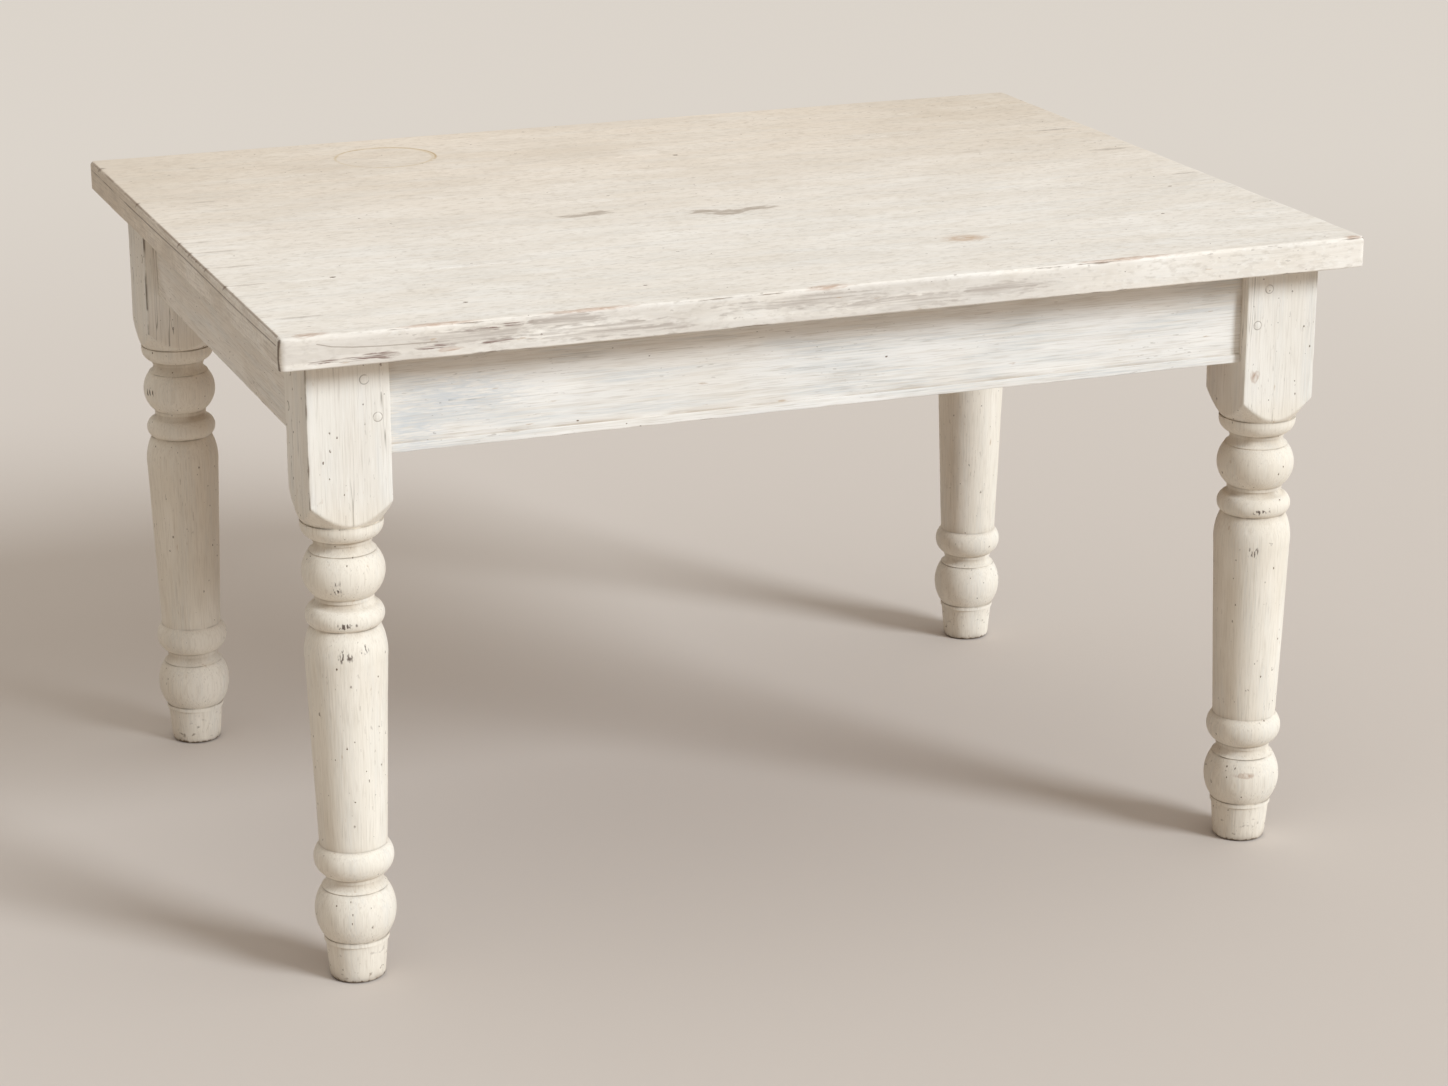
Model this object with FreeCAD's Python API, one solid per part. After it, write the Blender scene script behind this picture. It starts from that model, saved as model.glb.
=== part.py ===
import FreeCAD, Part
import math
import os

V = FreeCAD.Vector

# Sizes are in millimetres. +X runs along the table, +Y towards the drawer side, +Z up from the floor.
# The origin lies on the floor under the middle of the top.

# Whole table
table_length = 1280.0
table_width = 970.0
table_height = 760.0

# Top of four boards, joined edge to edge by loose tongues
top_thickness = 36.0
top_upper_round = 5.0
top_corner_ease = 3.0
top_lower_round = 2.0
front_board_width = 240.0
front_middle_board_width = 257.0
back_middle_board_width = 243.0
tongue_thickness = 8.0
tongue_width = 24.0
tongue_end_stop = 60.0
tongue_edge_gap = 0.5

# Leg blank and its place under the top
leg_block = 92.0
leg_block_round = 2.0
end_overhang = 36.0
side_overhang = 42.0

# Heights of the turned members, from the floor up; the shaft takes what is left
foot_height = 45.0
foot_step_height = 5.0
bulb_height = 58.0
lower_cove_height = 11.0
lower_fillet_height = 4.0
lower_ring_height = 37.0
upper_ring_height = 23.0
upper_cove_height = 7.0
upper_fillet_height = 4.0
ball_height = 50.0
neck_cove_height = 11.0
neck_fillet_height = 4.0
collar_height = 20.0
pommel_height = 28.0
block_height = 162.0

# How far above its own foot each rounded member is widest
bulb_widest_height = 33.0
lower_ring_widest_height = 25.0
upper_ring_widest_height = 12.0
ball_widest_height = 28.0
shoulder_height = 40.0
collar_shoulder_height = 3.0

# How deep each member is turned below the face of the blank
foot_floor_depth = 14.5
foot_top_depth = 11.0
foot_step_depth = 9.5
bulb_seat_depth = 10.5
bulb_depth = 0.5
score_depth = 8.5
neck_depth = 15.0
fillet_depth = 13.5
lower_ring_depth = 1.5
shaft_foot_depth = 8.0
shaft_depth = 0.6
shaft_top_depth = 8.0
upper_ring_depth = 2.5
ball_depth = 0.5
collar_depth = 0.5
pommel_foot_depth = 2.5
foot_edge_round = 4.0

# Aprons and their pegged mortise-and-tenon joints
apron_height = 115.0
apron_thickness = 22.0
long_side_recess = 14.0
end_recess = 16.0
bead_height = 11.0
bead_proud = 2.0
bead_round = 1.5
tenon_thickness = 9.0
tenon_meeting_wall = 10.5
tenon_lower_shoulder = 12.0
tenon_upper_shoulder = 15.0
mortise_end_gap = 2.0
peg_diameter = 10.0
peg_past_tenon = 14.5
peg_hole_fit = 0.05
upper_peg_inset = 28.0
upper_peg_drop = 27.0
lower_peg_inset = 14.5
lower_peg_drop = 69.0

# Rails and muntin around the drawer openings
drawer_rail_height = 22.0
top_rail_height = 18.0
muntin_width = 44.0
rail_tenon_width = 12.0
rail_tenon_length = 30.0
rail_tenon_shoulder = 4.0
rail_tenon_spacing = 36.0
rail_dovetail_length = 28.0
rail_dovetail_neck = 40.0
rail_dovetail_end = 52.0
muntin_tenon_length = 8.0
muntin_tenon_width = 16.0
muntin_tenon_depth = 40.0

# Runners, guides and kickers inside the frame
runner_ledge = 42.0
guide_width = 20.0
guide_height = 30.0
stub_length = 10.0
stub_thickness = 8.0
stub_side_shoulder = 6.0

# Drawer stops
stop_height = 6.0
stop_length = 24.0
stop_width = 40.0
stop_gap = 0.2

# Buttons and screws that hold the top
button_width = 34.0
button_length = 42.0
button_thickness = 22.0
button_tongue = 7.0
button_tongue_height = 9.0
button_slot_gap = 2.0
bay_fixings = 2
end_buttons = 2
screw_diameter = 4.0
screw_head_diameter = 8.0
screw_head_height = 3.0
screw_length = 40.0
screw_hole_fit = 0.1

# Drawers
drawer_depth = 520.0
drawer_side_gap = 1.5
drawer_top_gap = 1.7
drawer_runner_gap = 0.3
drawer_front_thickness = 20.0
drawer_front_lap = 5.0
drawer_side_thickness = 12.0
drawer_back_thickness = 12.0
drawer_back_drop = 8.0
drawer_bottom_thickness = 6.0
drawer_bottom_height = 10.0
drawer_groove_depth = 6.0
drawer_bottom_play = 0.5
tail_count = 2
tail_slope = 1.0 / 7.0
front_half_pin = 5.0
front_pin_width = 12.0
back_half_pin = 4.0
back_pin_width = 8.0
nail_diameter = 1.8
nail_head_diameter = 4.0
nail_head_height = 0.8
nail_length = 20.0

# Turned drawer knob
knob_diameter = 36.0
knob_length = 34.0
knob_neck_diameter = 16.0
knob_foot_diameter = 22.0
knob_foot_length = 4.0
knob_neck_length = 10.0
knob_tenon_diameter = 14.0
knob_tenon_fit = 0.05

# Levels, faces and lengths that follow from the sizes above
leg_height = table_height - top_thickness
apron_bottom = leg_height - apron_height
leg_x = table_length / 2 - end_overhang - leg_block / 2
leg_y = table_width / 2 - side_overhang - leg_block / 2
leg_outer_x = leg_x + leg_block / 2
leg_outer_y = leg_y + leg_block / 2
leg_inner_x = leg_x - leg_block / 2
leg_inner_y = leg_y - leg_block / 2
long_face_y = leg_outer_y - long_side_recess
apron_back_y = long_face_y - apron_thickness
end_face_x = leg_outer_x - end_recess
end_back_x = end_face_x - apron_thickness
runner_top = apron_bottom + drawer_rail_height
kicker_bottom = leg_height - top_rail_height
muntin_half = muntin_width / 2
drawer_low = runner_top + drawer_runner_gap
drawer_high = kicker_bottom - drawer_top_gap
drawer_front_back_y = long_face_y - drawer_front_thickness
drawer_end_y = long_face_y - drawer_depth
bottom_low = drawer_low + drawer_bottom_height
bottom_high = bottom_low + drawer_bottom_thickness
drawer_width = leg_inner_x - muntin_half - 2 * drawer_side_gap
top_corner_radius = top_upper_round + top_corner_ease
tenon_far_face = (apron_thickness + tenon_thickness) / 2
tenon_length = leg_block - end_recess - tenon_far_face - mortise_end_gap - tenon_meeting_wall
long_peg_length = long_side_recess + tenon_far_face + peg_past_tenon
end_peg_length = end_recess + tenon_far_face + peg_past_tenon

SIDES = {"left": -1, "right": 1}


def block(x, y, z):
    """Box between two limits on each axis, given in either order."""
    low = [min(pair) for pair in (x, y, z)]
    size = [abs(pair[1] - pair[0]) for pair in (x, y, z)]
    return Part.makeBox(size[0], size[1], size[2], V(*low))


def about(centre, width):
    """Limits of a width centred on a point."""
    return (centre - width / 2, centre + width / 2)


def rod(radius, start, end):
    """Cylinder between two points."""
    along = end.sub(start)
    return Part.makeCylinder(radius, along.Length, start, along)


def prism(points, along):
    """Straight-sided outline pushed along a vector."""
    return Part.Face(Part.makePolygon(points + points[:1])).extrude(along)


def turned(outline):
    """Solid turned about Z. Each step is (radius, z), or an arc as (through radius, through z, radius, z)."""
    edges = []
    here = V(outline[0][0], 0, outline[0][1])
    for step in outline[1:] + outline[:1]:
        there = V(step[-2], 0, step[-1])
        if len(step) == 4:
            edges.append(Part.Arc(here, V(step[0], 0, step[1]), there).toShape())
        else:
            edges.append(Part.LineSegment(here, there).toShape())
        here = there
    return Part.Face(Part.Wire(edges)).revolve(V(0, 0, 0), V(0, 0, 1), 360)


def cove(rim_radius, rim_z, neck_radius, neck_z):
    """Point half way round a hollow that runs upright into its neck."""
    step = rim_radius - neck_radius
    rise = neck_z - rim_z
    radius = (step**2 + rise**2) / (2 * step)
    half = math.atan2(abs(rise), neck_radius + radius - rim_radius) / 2
    drop = math.copysign(radius * math.sin(half), rise)
    return (neck_radius + radius - radius * math.cos(half), neck_z - drop)


def save(shape, name):
    """Writes one piece, or one group of like pieces."""
    shape.exportStep(os.path.join("parts", name + ".step"))


def turned_part():
    """Turned length of a leg, from the floor to the foot of the pommel."""
    blank = leg_block / 2
    score = blank - score_depth
    neck = blank - neck_depth
    fillet = blank - fillet_depth
    foot = blank - foot_floor_depth
    step_top = foot_height + foot_step_height
    bulb_top = step_top + bulb_height
    lower_cove_top = bulb_top + lower_cove_height
    lower_fillet_top = lower_cove_top + lower_fillet_height
    lower_ring_top = lower_fillet_top + lower_ring_height
    collar_top = leg_height - block_height - pommel_height
    collar_low = collar_top - collar_height
    neck_fillet_low = collar_low - neck_fillet_height
    ball_top = neck_fillet_low - neck_cove_height
    ball_low = ball_top - ball_height
    upper_fillet_low = ball_low - upper_fillet_height
    upper_ring_top = upper_fillet_low - upper_cove_height
    shaft_top = upper_ring_top - upper_ring_height
    shaft = blank - shaft_depth
    shaft_neck = blank - shaft_top_depth
    shoulder_through = shaft - (shaft - shaft_neck) / 5
    collar = blank - collar_depth
    collar_shoulder = collar_top - collar_shoulder_height
    collar_through = collar - (collar - fillet) / 5
    edge_in = foot_edge_round * (1 - math.sqrt(0.5))
    outline = [
        (0, 0),
        (foot - foot_edge_round, 0),
        (foot - edge_in, edge_in, foot, foot_edge_round),
        (blank - foot_top_depth, foot_height),
        (blank - foot_step_depth, foot_height),
        (blank - foot_step_depth, step_top),
        (blank - bulb_seat_depth, step_top),
        (blank - bulb_depth, step_top + bulb_widest_height, score, bulb_top),
        cove(score, bulb_top, neck, lower_cove_top) + (neck, lower_cove_top),
        (fillet, lower_cove_top),
        (fillet, lower_fillet_top),
        (blank - lower_ring_depth, lower_fillet_top + lower_ring_widest_height,
         blank - shaft_foot_depth, lower_ring_top),
        (shaft, shaft_top - shoulder_height),
        (shoulder_through, shaft_top - 0.4 * shoulder_height, shaft_neck, shaft_top),
        (blank - upper_ring_depth, shaft_top + upper_ring_widest_height, score, upper_ring_top),
        cove(score, upper_ring_top, neck, upper_fillet_low) + (neck, upper_fillet_low),
        (fillet, upper_fillet_low),
        (fillet, ball_low),
        (blank - ball_depth, ball_low + ball_widest_height, score, ball_top),
        cove(score, ball_top, neck, neck_fillet_low) + (neck, neck_fillet_low),
        (fillet, neck_fillet_low),
        (fillet, collar_low),
        (collar_through, collar_low + 0.4 * (collar_shoulder - collar_low), collar, collar_shoulder),
        (collar, collar_top),
        (0, collar_top),
    ]
    return turned(outline)


def leg_blank():
    """One leg on the Z axis, before its joints are cut: square block, turned-off corners and turning."""
    half = leg_block / 2
    pommel_foot = leg_height - block_height - pommel_height
    pommel_top = leg_height - block_height
    upright = block((-half, half), (-half, half), (pommel_foot, leg_height))
    corners = [e for e in upright.Edges if e.BoundBox.ZLength > leg_block_round]
    upright = upright.makeFillet(leg_block_round, corners)
    corner_radius = half * math.sqrt(2)
    cone = Part.makeCone(half - pommel_foot_depth, corner_radius, pommel_height, V(0, 0, pommel_foot))
    above = Part.makeCylinder(corner_radius, block_height, V(0, 0, pommel_top))
    upright = upright.common(cone.fuse(above))
    return upright.fuse(turned_part()).removeSplitter()


def apron_tenon(extra=0.0):
    """Tenon along +X from a leg's inner face, centred on Y = 0."""
    z = (apron_bottom + tenon_lower_shoulder, leg_height - tenon_upper_shoulder)
    return block((0, tenon_length + extra), about(0, tenon_thickness), z)


def along_x(shape, side, x, y):
    """Moves a joint made along +X to a place, pointing to the given side."""
    moved = shape.copy()
    if side < 0:
        moved.rotate(V(0, 0, 0), V(0, 0, 1), 180)
    moved.translate(V(x, y, 0))
    return moved


def along_y(shape, side, x, y):
    """Moves a joint made along +X to a place, pointing to the given side of Y."""
    moved = shape.copy()
    moved.rotate(V(0, 0, 0), V(0, 0, 1), 90 * side)
    moved.translate(V(x, y, 0))
    return moved


long_tenon_y = -(long_face_y - apron_thickness / 2)
end_tenon_x = end_face_x - apron_thickness / 2
rail_middle_y = (leg_inner_y + long_face_y) / 2
rail_y = (leg_inner_y, long_face_y)


def rail_tenons(extra=0.0):
    """Pair of drawer rail tenons along +X, centred on Y = 0."""
    z = (apron_bottom + rail_tenon_shoulder, runner_top - rail_tenon_shoulder)
    x = (0, rail_tenon_length + extra)
    pair = [block(x, about(side * rail_tenon_spacing / 2, rail_tenon_width), z) for side in (-1, 1)]
    return pair[0].fuse(pair[1])


def rail_dovetail():
    """Dovetail of the top rail along +X, let into the leg from above."""
    neck = rail_dovetail_neck / 2
    end = rail_dovetail_end / 2
    points = [V(0, -neck, kicker_bottom), V(rail_dovetail_length, -end, kicker_bottom),
              V(rail_dovetail_length, end, kicker_bottom), V(0, neck, kicker_bottom)]
    return prism(points, V(0, 0, top_rail_height))


def peg_places():
    """Start and end of each peg: driven square to the joint, through the leg's outer face."""
    places = []
    for inset, drop in ((upper_peg_inset, upper_peg_drop), (lower_peg_inset, lower_peg_drop)):
        z = leg_height - drop
        for side in SIDES.values():
            x = side * (leg_inner_x + inset)
            places.append((V(x, -leg_outer_y, z), V(x, -leg_outer_y + long_peg_length, z)))
            for row in (-1, 1):
                y = row * (leg_inner_y + inset)
                places.append((V(side * leg_outer_x, y, z), V(side * (leg_outer_x - end_peg_length), y, z)))
    return places


def joint_pegs():
    return Part.makeCompound([rod(peg_diameter / 2, start, end) for start, end in peg_places()])


def peg_holes():
    radius = peg_diameter / 2 + peg_hole_fit
    return Part.makeCompound([rod(radius, start, end) for start, end in peg_places()])


def leg(side, row):
    """Leg at one corner, with its mortises, dovetail socket and peg holes."""
    piece = leg_blank()
    piece.translate(V(side * leg_x, row * leg_y, 0))
    joints = [along_y(apron_tenon(mortise_end_gap), row, side * end_tenon_x, row * leg_inner_y)]
    if row < 0:
        joints.append(along_x(apron_tenon(mortise_end_gap), side, side * leg_inner_x, long_tenon_y))
    else:
        joints.append(along_x(rail_tenons(mortise_end_gap), side, side * leg_inner_x, rail_middle_y))
        joints.append(along_x(rail_dovetail(), side, side * leg_inner_x, rail_middle_y))
    return piece.cut(joints + [peg_holes()])


def spread(low, high, count):
    """Places spread evenly between two limits, clear of both."""
    step = (high - low) / (count + 1)
    return [low + step * (n + 1) for n in range(count)]


def bay_places():
    """X of the fixings in the two drawer bays, between the bars."""
    bay = spread(muntin_half + runner_ledge, leg_inner_x - runner_ledge, bay_fixings)
    return [side * x for side in SIDES.values() for x in bay]


def screw_places():
    """Head of each screw, driven upwards: one in each button and a row through the back top rail."""
    button_z = leg_height - button_thickness
    in_buttons = [V(x, y, button_z) for x, y, _, _ in button_places()]
    return in_buttons + [V(x, rail_middle_y, kicker_bottom) for x in bay_places()]


def screw(place, fit=0.0):
    """Countersunk wood screw, point up, or with a fit the hole that it fills."""
    head = Part.makeCone(screw_head_diameter / 2 + fit, screw_diameter / 2 + fit, screw_head_height, place)
    shank = Part.makeCylinder(screw_diameter / 2 + fit, screw_length + fit, place)
    return head.fuse(shank).removeSplitter()


def top_screws():
    return Part.makeCompound([screw(place) for place in screw_places()])


def screw_holes():
    return Part.makeCompound([screw(place, screw_hole_fit) for place in screw_places()])


def button_places():
    """Middle of each button's body, and the way its tongue points."""
    reach = button_length / 2
    places = [(x, -apron_back_y + reach, 0, -1) for x in bay_places()]
    for side in SIDES.values():
        for y in spread(-leg_inner_y, leg_inner_y, end_buttons):
            places.append((side * (end_back_x - reach), y, side, 0))
    return places


def button_block(place, width, reach, z):
    """Box on a button's line, from the back of its body to a reach past the apron's face."""
    x, y, way_x, way_y = place
    low = -button_length / 2
    high = button_length / 2 + reach
    if way_x:
        return block((x + way_x * low, x + way_x * high), about(y, width), z)
    return block(about(x, width), (y + way_y * low, y + way_y * high), z)


def table_buttons():
    """Turned-over blocks whose tongues sit in slots in the aprons."""
    low = leg_height - button_thickness
    pieces = []
    for place in button_places():
        body = button_block(place, button_width, 0, (low, leg_height))
        tongue = button_block(place, button_width, button_tongue, (low, low + button_tongue_height))
        pieces.append(body.fuse(tongue).removeSplitter().cut(screw_holes()))
    return Part.makeCompound(pieces)


def button_slots():
    low = leg_height - button_thickness
    z = (low - button_slot_gap, low + button_tongue_height)
    wide = button_width + button_slot_gap
    slots = [button_block(place, wide, button_tongue + button_slot_gap, z) for place in button_places()]
    return Part.makeCompound(slots)


def bars():
    """Limits in X of the bar under or over each line of drawer sides."""
    ledge = muntin_half + runner_ledge
    return {
        "left": (-leg_inner_x, -leg_inner_x + runner_ledge),
        "centre": (-ledge, ledge),
        "right": (leg_inner_x - runner_ledge, leg_inner_x),
    }


def stubs(x, z_middle, gap=0.0):
    """Short tenons at both ends of a bar: into the rail behind and into the front apron."""
    x = (x[0] + stub_side_shoulder, x[1] - stub_side_shoulder)
    z = about(z_middle, stub_thickness)
    back = block(x, (leg_inner_y, leg_inner_y + stub_length + gap), z)
    front = block(x, (-apron_back_y - stub_length - gap, -apron_back_y), z)
    return back.fuse(front)


runner_middle = apron_bottom + drawer_rail_height / 2
kicker_middle = leg_height - top_rail_height / 2


def stub_sockets(z_middle):
    return Part.makeCompound([stubs(x, z_middle, mortise_end_gap) for x in bars().values()])


def front_apron():
    """Plain board with a bead along its lower edge."""
    board = block((-leg_inner_x, leg_inner_x), (-long_face_y, -apron_back_y), (apron_bottom, leg_height))
    bead = block((-leg_inner_x, leg_inner_x), (-long_face_y - bead_proud, -apron_back_y),
                 (apron_bottom, apron_bottom + bead_height))
    outer = -long_face_y - bead_proud
    rims = [e for e in bead.Edges if abs(e.BoundBox.YMin - outer) + abs(e.BoundBox.YMax - outer) < 0.01
            and e.BoundBox.XLength > bead_height]
    board = board.fuse(bead.makeFillet(bead_round, rims))
    tenons = [along_x(apron_tenon(), side, side * leg_inner_x, long_tenon_y) for side in SIDES.values()]
    board = board.fuse(tenons).removeSplitter()
    sockets = [stub_sockets(runner_middle), stub_sockets(kicker_middle)]
    return board.cut(sockets + [peg_holes(), button_slots()])


def end_apron(side):
    """Plain board between the legs at one end."""
    x = (side * end_back_x, side * end_face_x)
    board = block(x, (-leg_inner_y, leg_inner_y), (apron_bottom, leg_height))
    tenons = [along_y(apron_tenon(), row, side * end_tenon_x, row * leg_inner_y) for row in (-1, 1)]
    return board.fuse(tenons).removeSplitter().cut([peg_holes(), button_slots()])


def muntin_tenons(gap=0.0):
    """Tenons of the muntin, up into the top rail and down into the drawer rail."""
    z = (runner_top - muntin_tenon_length - gap, kicker_bottom + muntin_tenon_length + gap)
    return block(about(0, muntin_tenon_width), about(rail_middle_y, muntin_tenon_depth), z)


def back_drawer_rail():
    """Rail under the drawers, with a pair of tenons in each leg."""
    rail = block((-leg_inner_x, leg_inner_x), rail_y, (apron_bottom, runner_top))
    tenons = [along_x(rail_tenons(), side, side * leg_inner_x, rail_middle_y) for side in SIDES.values()]
    rail = rail.fuse(tenons).removeSplitter()
    return rail.cut([muntin_tenons(mortise_end_gap), stub_sockets(runner_middle)])


def back_top_rail():
    """Rail over the drawers, dovetailed into the tops of the legs."""
    rail = block((-leg_inner_x, leg_inner_x), rail_y, (kicker_bottom, leg_height))
    tails = [along_x(rail_dovetail(), side, side * leg_inner_x, rail_middle_y) for side in SIDES.values()]
    rail = rail.fuse(tails).removeSplitter()
    return rail.cut([muntin_tenons(mortise_end_gap), stub_sockets(kicker_middle), screw_holes()])


def back_muntin():
    """Upright between the two drawer openings."""
    upright = block(about(0, muntin_width), rail_y, (runner_top, kicker_bottom))
    return upright.fuse(muntin_tenons()).removeSplitter()


def leg_blocks():
    """Space that the leg blocks fill, for bars that are notched round them."""
    corners = [block((side * leg_inner_x, side * leg_outer_x), (row * leg_inner_y, row * leg_outer_y),
                     (0, leg_height)) for side in SIDES.values() for row in (-1, 1)]
    return Part.makeCompound(corners)


def runner(name):
    """Bar that carries the drawer sides; the outer two also carry a guide, and are notched round the leg."""
    x = bars()[name]
    seat = {"left": (x[0] - guide_width, x[1]), "centre": x, "right": (x[0], x[1] + guide_width)}[name]
    bar = block(seat, (-apron_back_y, leg_inner_y), (apron_bottom, runner_top)).cut(leg_blocks())
    return bar.fuse(stubs(x, runner_middle)).removeSplitter()


def guide(name):
    """Strip that keeps the drawers straight as they slide."""
    x = {"left": (-leg_inner_x - guide_width, -leg_inner_x), "centre": (-muntin_half, muntin_half),
         "right": (leg_inner_x, leg_inner_x + guide_width)}[name]
    return block(x, (-leg_inner_y, leg_inner_y), (runner_top, runner_top + guide_height))


def kicker(name):
    """Bar that keeps an open drawer from tipping."""
    x = bars()[name]
    bar = block(x, (-apron_back_y, leg_inner_y), (kicker_bottom, leg_height))
    return bar.fuse(stubs(x, kicker_middle)).removeSplitter()


def drawer_middle(side):
    return side * (muntin_half + leg_inner_x) / 2


def drawer_stops():
    """Blocks on the drawer rail that the drawer fronts close against."""
    high = drawer_front_back_y - stop_gap
    pieces = []
    for side in SIDES.values():
        for end in (-1, 1):
            x = about(drawer_middle(side) + end * drawer_width / 4, stop_width)
            pieces.append(block(x, (high - stop_length, high), (runner_top, runner_top + stop_height)))
    return Part.makeCompound(pieces)


def top_slab():
    """Whole top with rounded corners and arrises, before it is parted into boards."""
    low = leg_height
    slab = block(about(0, table_length), about(0, table_width), (low, table_height))
    corners = [e for e in slab.Edges if e.BoundBox.ZLength > top_corner_radius]
    slab = slab.makeFillet(top_corner_radius, corners)
    for level, radius in ((table_height, top_upper_round), (low, top_lower_round)):
        rim = [e for e in slab.Edges if abs(e.BoundBox.ZMin - level) + abs(e.BoundBox.ZMax - level) < 0.01]
        slab = slab.makeFillet(radius, rim)
    return slab


def board_joints():
    """Y of each joint between boards, from the front."""
    first = -table_width / 2 + front_board_width
    second = first + front_middle_board_width
    return [first, second, second + back_middle_board_width]


def tongue(y, gap=0.0):
    """Loose tongue across a board joint, stopped short of the ends."""
    middle = leg_height + top_thickness / 2
    length = table_length - 2 * (tongue_end_stop - gap)
    return block(about(0, length), about(y, tongue_width + 2 * gap), about(middle, tongue_thickness))


def top_boards():
    """The four boards, with grooves for the tongues and holes for the screws."""
    limits = [-table_width / 2] + board_joints() + [table_width / 2]
    grooves = [tongue(y, tongue_edge_gap) for y in board_joints()]
    slab = top_slab().cut(grooves + [screw_holes()])
    names = ["front", "front_middle", "back_middle", "back"]
    for name, low, high in zip(names, limits, limits[1:]):
        strip = block(about(0, table_length), (low, high), (leg_height, table_height))
        save(slab.common(strip), "top_board_" + name)


def tails(half_pin, pin, height, root_y, end_y, x):
    """Dovetails in a drawer side: narrow at the root, wider at the end."""
    low, high = height
    room = high - low - 2 * half_pin - (tail_count - 1) * pin
    width = room / tail_count
    flare = abs(end_y - root_y) * tail_slope
    shapes = []
    for step in range(tail_count):
        z = low + half_pin + step * (width + pin)
        points = [V(x[0], root_y, z + flare), V(x[0], end_y, z),
                  V(x[0], end_y, z + width), V(x[0], root_y, z + width - flare)]
        shapes.append(prism(points, V(x[1] - x[0], 0, 0)))
    return shapes


def knob(x):
    """Turned knob with a tenon through the drawer front."""
    foot = knob_foot_diameter / 2
    neck = knob_neck_diameter / 2
    head = knob_diameter / 2
    tenon = knob_tenon_diameter / 2
    neck_low = knob_foot_length
    neck_high = neck_low + knob_neck_length
    head_middle = (neck_high + knob_length) / 2
    outline = [
        (0, -drawer_front_thickness),
        (tenon, -drawer_front_thickness),
        (tenon, 0),
        (foot, 0),
        (foot, neck_low),
        cove(foot, neck_low, neck, neck_high) + (neck, neck_high),
        (head, head_middle, neck, knob_length),
        (0, knob_length),
    ]
    piece = turned(outline)
    piece.rotate(V(0, 0, 0), V(1, 0, 0), -90)
    piece.translate(V(x, long_face_y, (drawer_low + drawer_high) / 2))
    return piece


def drawer(name):
    """One drawer: lapped dovetails at the front, through dovetails at the back, bottom in grooves."""
    side = SIDES[name]
    middle = drawer_middle(side)
    x = about(middle, drawer_width)
    z = (drawer_low, drawer_high)
    lap_y = long_face_y - drawer_front_lap
    back_y = drawer_end_y + drawer_back_thickness
    back_z = (bottom_high, drawer_high - drawer_back_drop)
    sides_x = {"left": (x[0], x[0] + drawer_side_thickness), "right": (x[1] - drawer_side_thickness, x[1])}
    inside = (sides_x["left"][1], sides_x["right"][0])
    groove_x = (inside[0] - drawer_groove_depth, inside[1] + drawer_groove_depth)
    groove_y = (drawer_end_y, drawer_front_back_y + drawer_groove_depth)
    groove = block(groove_x, groove_y, (bottom_low, bottom_high))

    front = block(x, (drawer_front_back_y, long_face_y), z)
    back = block(x, (drawer_end_y, back_y), back_z)
    for across in sides_x.values():
        front = front.cut(tails(front_half_pin, front_pin_width, z, drawer_front_back_y, lap_y, across))
        back = back.cut(tails(back_half_pin, back_pin_width, back_z, back_y, drawer_end_y, across))
    for label, across in sides_x.items():
        plank = block(across, (drawer_end_y, lap_y), z)
        save(plank.cut([front, back, groove]), name + "_drawer_" + label + "_side")

    bottom_x = (groove_x[0] + drawer_bottom_play, groove_x[1] - drawer_bottom_play)
    bottom_y = (groove_y[0], groove_y[1] - drawer_bottom_play)
    nails = []
    nail_holes = []
    for end in (-1, 1):
        place = V(middle + end * drawer_width / 4, (drawer_end_y + back_y) / 2, bottom_low)
        shank = Part.makeCylinder(nail_diameter / 2, nail_length, place)
        head = Part.makeCylinder(nail_head_diameter / 2, nail_head_height, place - V(0, 0, nail_head_height))
        nails.append(shank.fuse(head).removeSplitter())
        nail_holes.append(shank)
    save(Part.makeCompound(nails), name + "_drawer_nails")
    save(block(bottom_x, bottom_y, (bottom_low, bottom_high)).cut(nail_holes), name + "_drawer_bottom")
    save(back.cut(nail_holes), name + "_drawer_back")

    knob_middle = (drawer_low + drawer_high) / 2
    hole = rod(knob_tenon_diameter / 2 + knob_tenon_fit,
               V(middle, drawer_front_back_y, knob_middle), V(middle, long_face_y, knob_middle))
    save(front.cut([groove, hole]), name + "_drawer_front")
    save(knob(middle), name + "_drawer_knob")


def main():
    os.makedirs("parts", exist_ok=True)
    for label, row in (("front", -1), ("back", 1)):
        for name, side in SIDES.items():
            save(leg(side, row), "leg_" + label + "_" + name)
    save(front_apron(), "front_apron")
    for name, side in SIDES.items():
        save(end_apron(side), name + "_end_apron")
    save(back_top_rail(), "back_top_rail")
    save(back_drawer_rail(), "back_drawer_rail")
    save(back_muntin(), "back_muntin")
    for name in bars():
        save(runner(name), name + "_runner")
        save(guide(name), name + "_guide")
        save(kicker(name), name + "_kicker")
    save(drawer_stops(), "drawer_stops")
    save(joint_pegs(), "joint_pegs")
    save(table_buttons(), "table_buttons")
    save(top_screws(), "top_screws")
    top_boards()
    save(Part.makeCompound([tongue(y) for y in board_joints()]), "top_tongues")
    for name in SIDES:
        drawer(name)


main()
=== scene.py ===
"""Looks of the painted kitchen table with drawers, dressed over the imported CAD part, in metres."""

import functools
import math

import bmesh
import bpy
import numpy as np
from mathutils import Matrix, Vector


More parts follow.
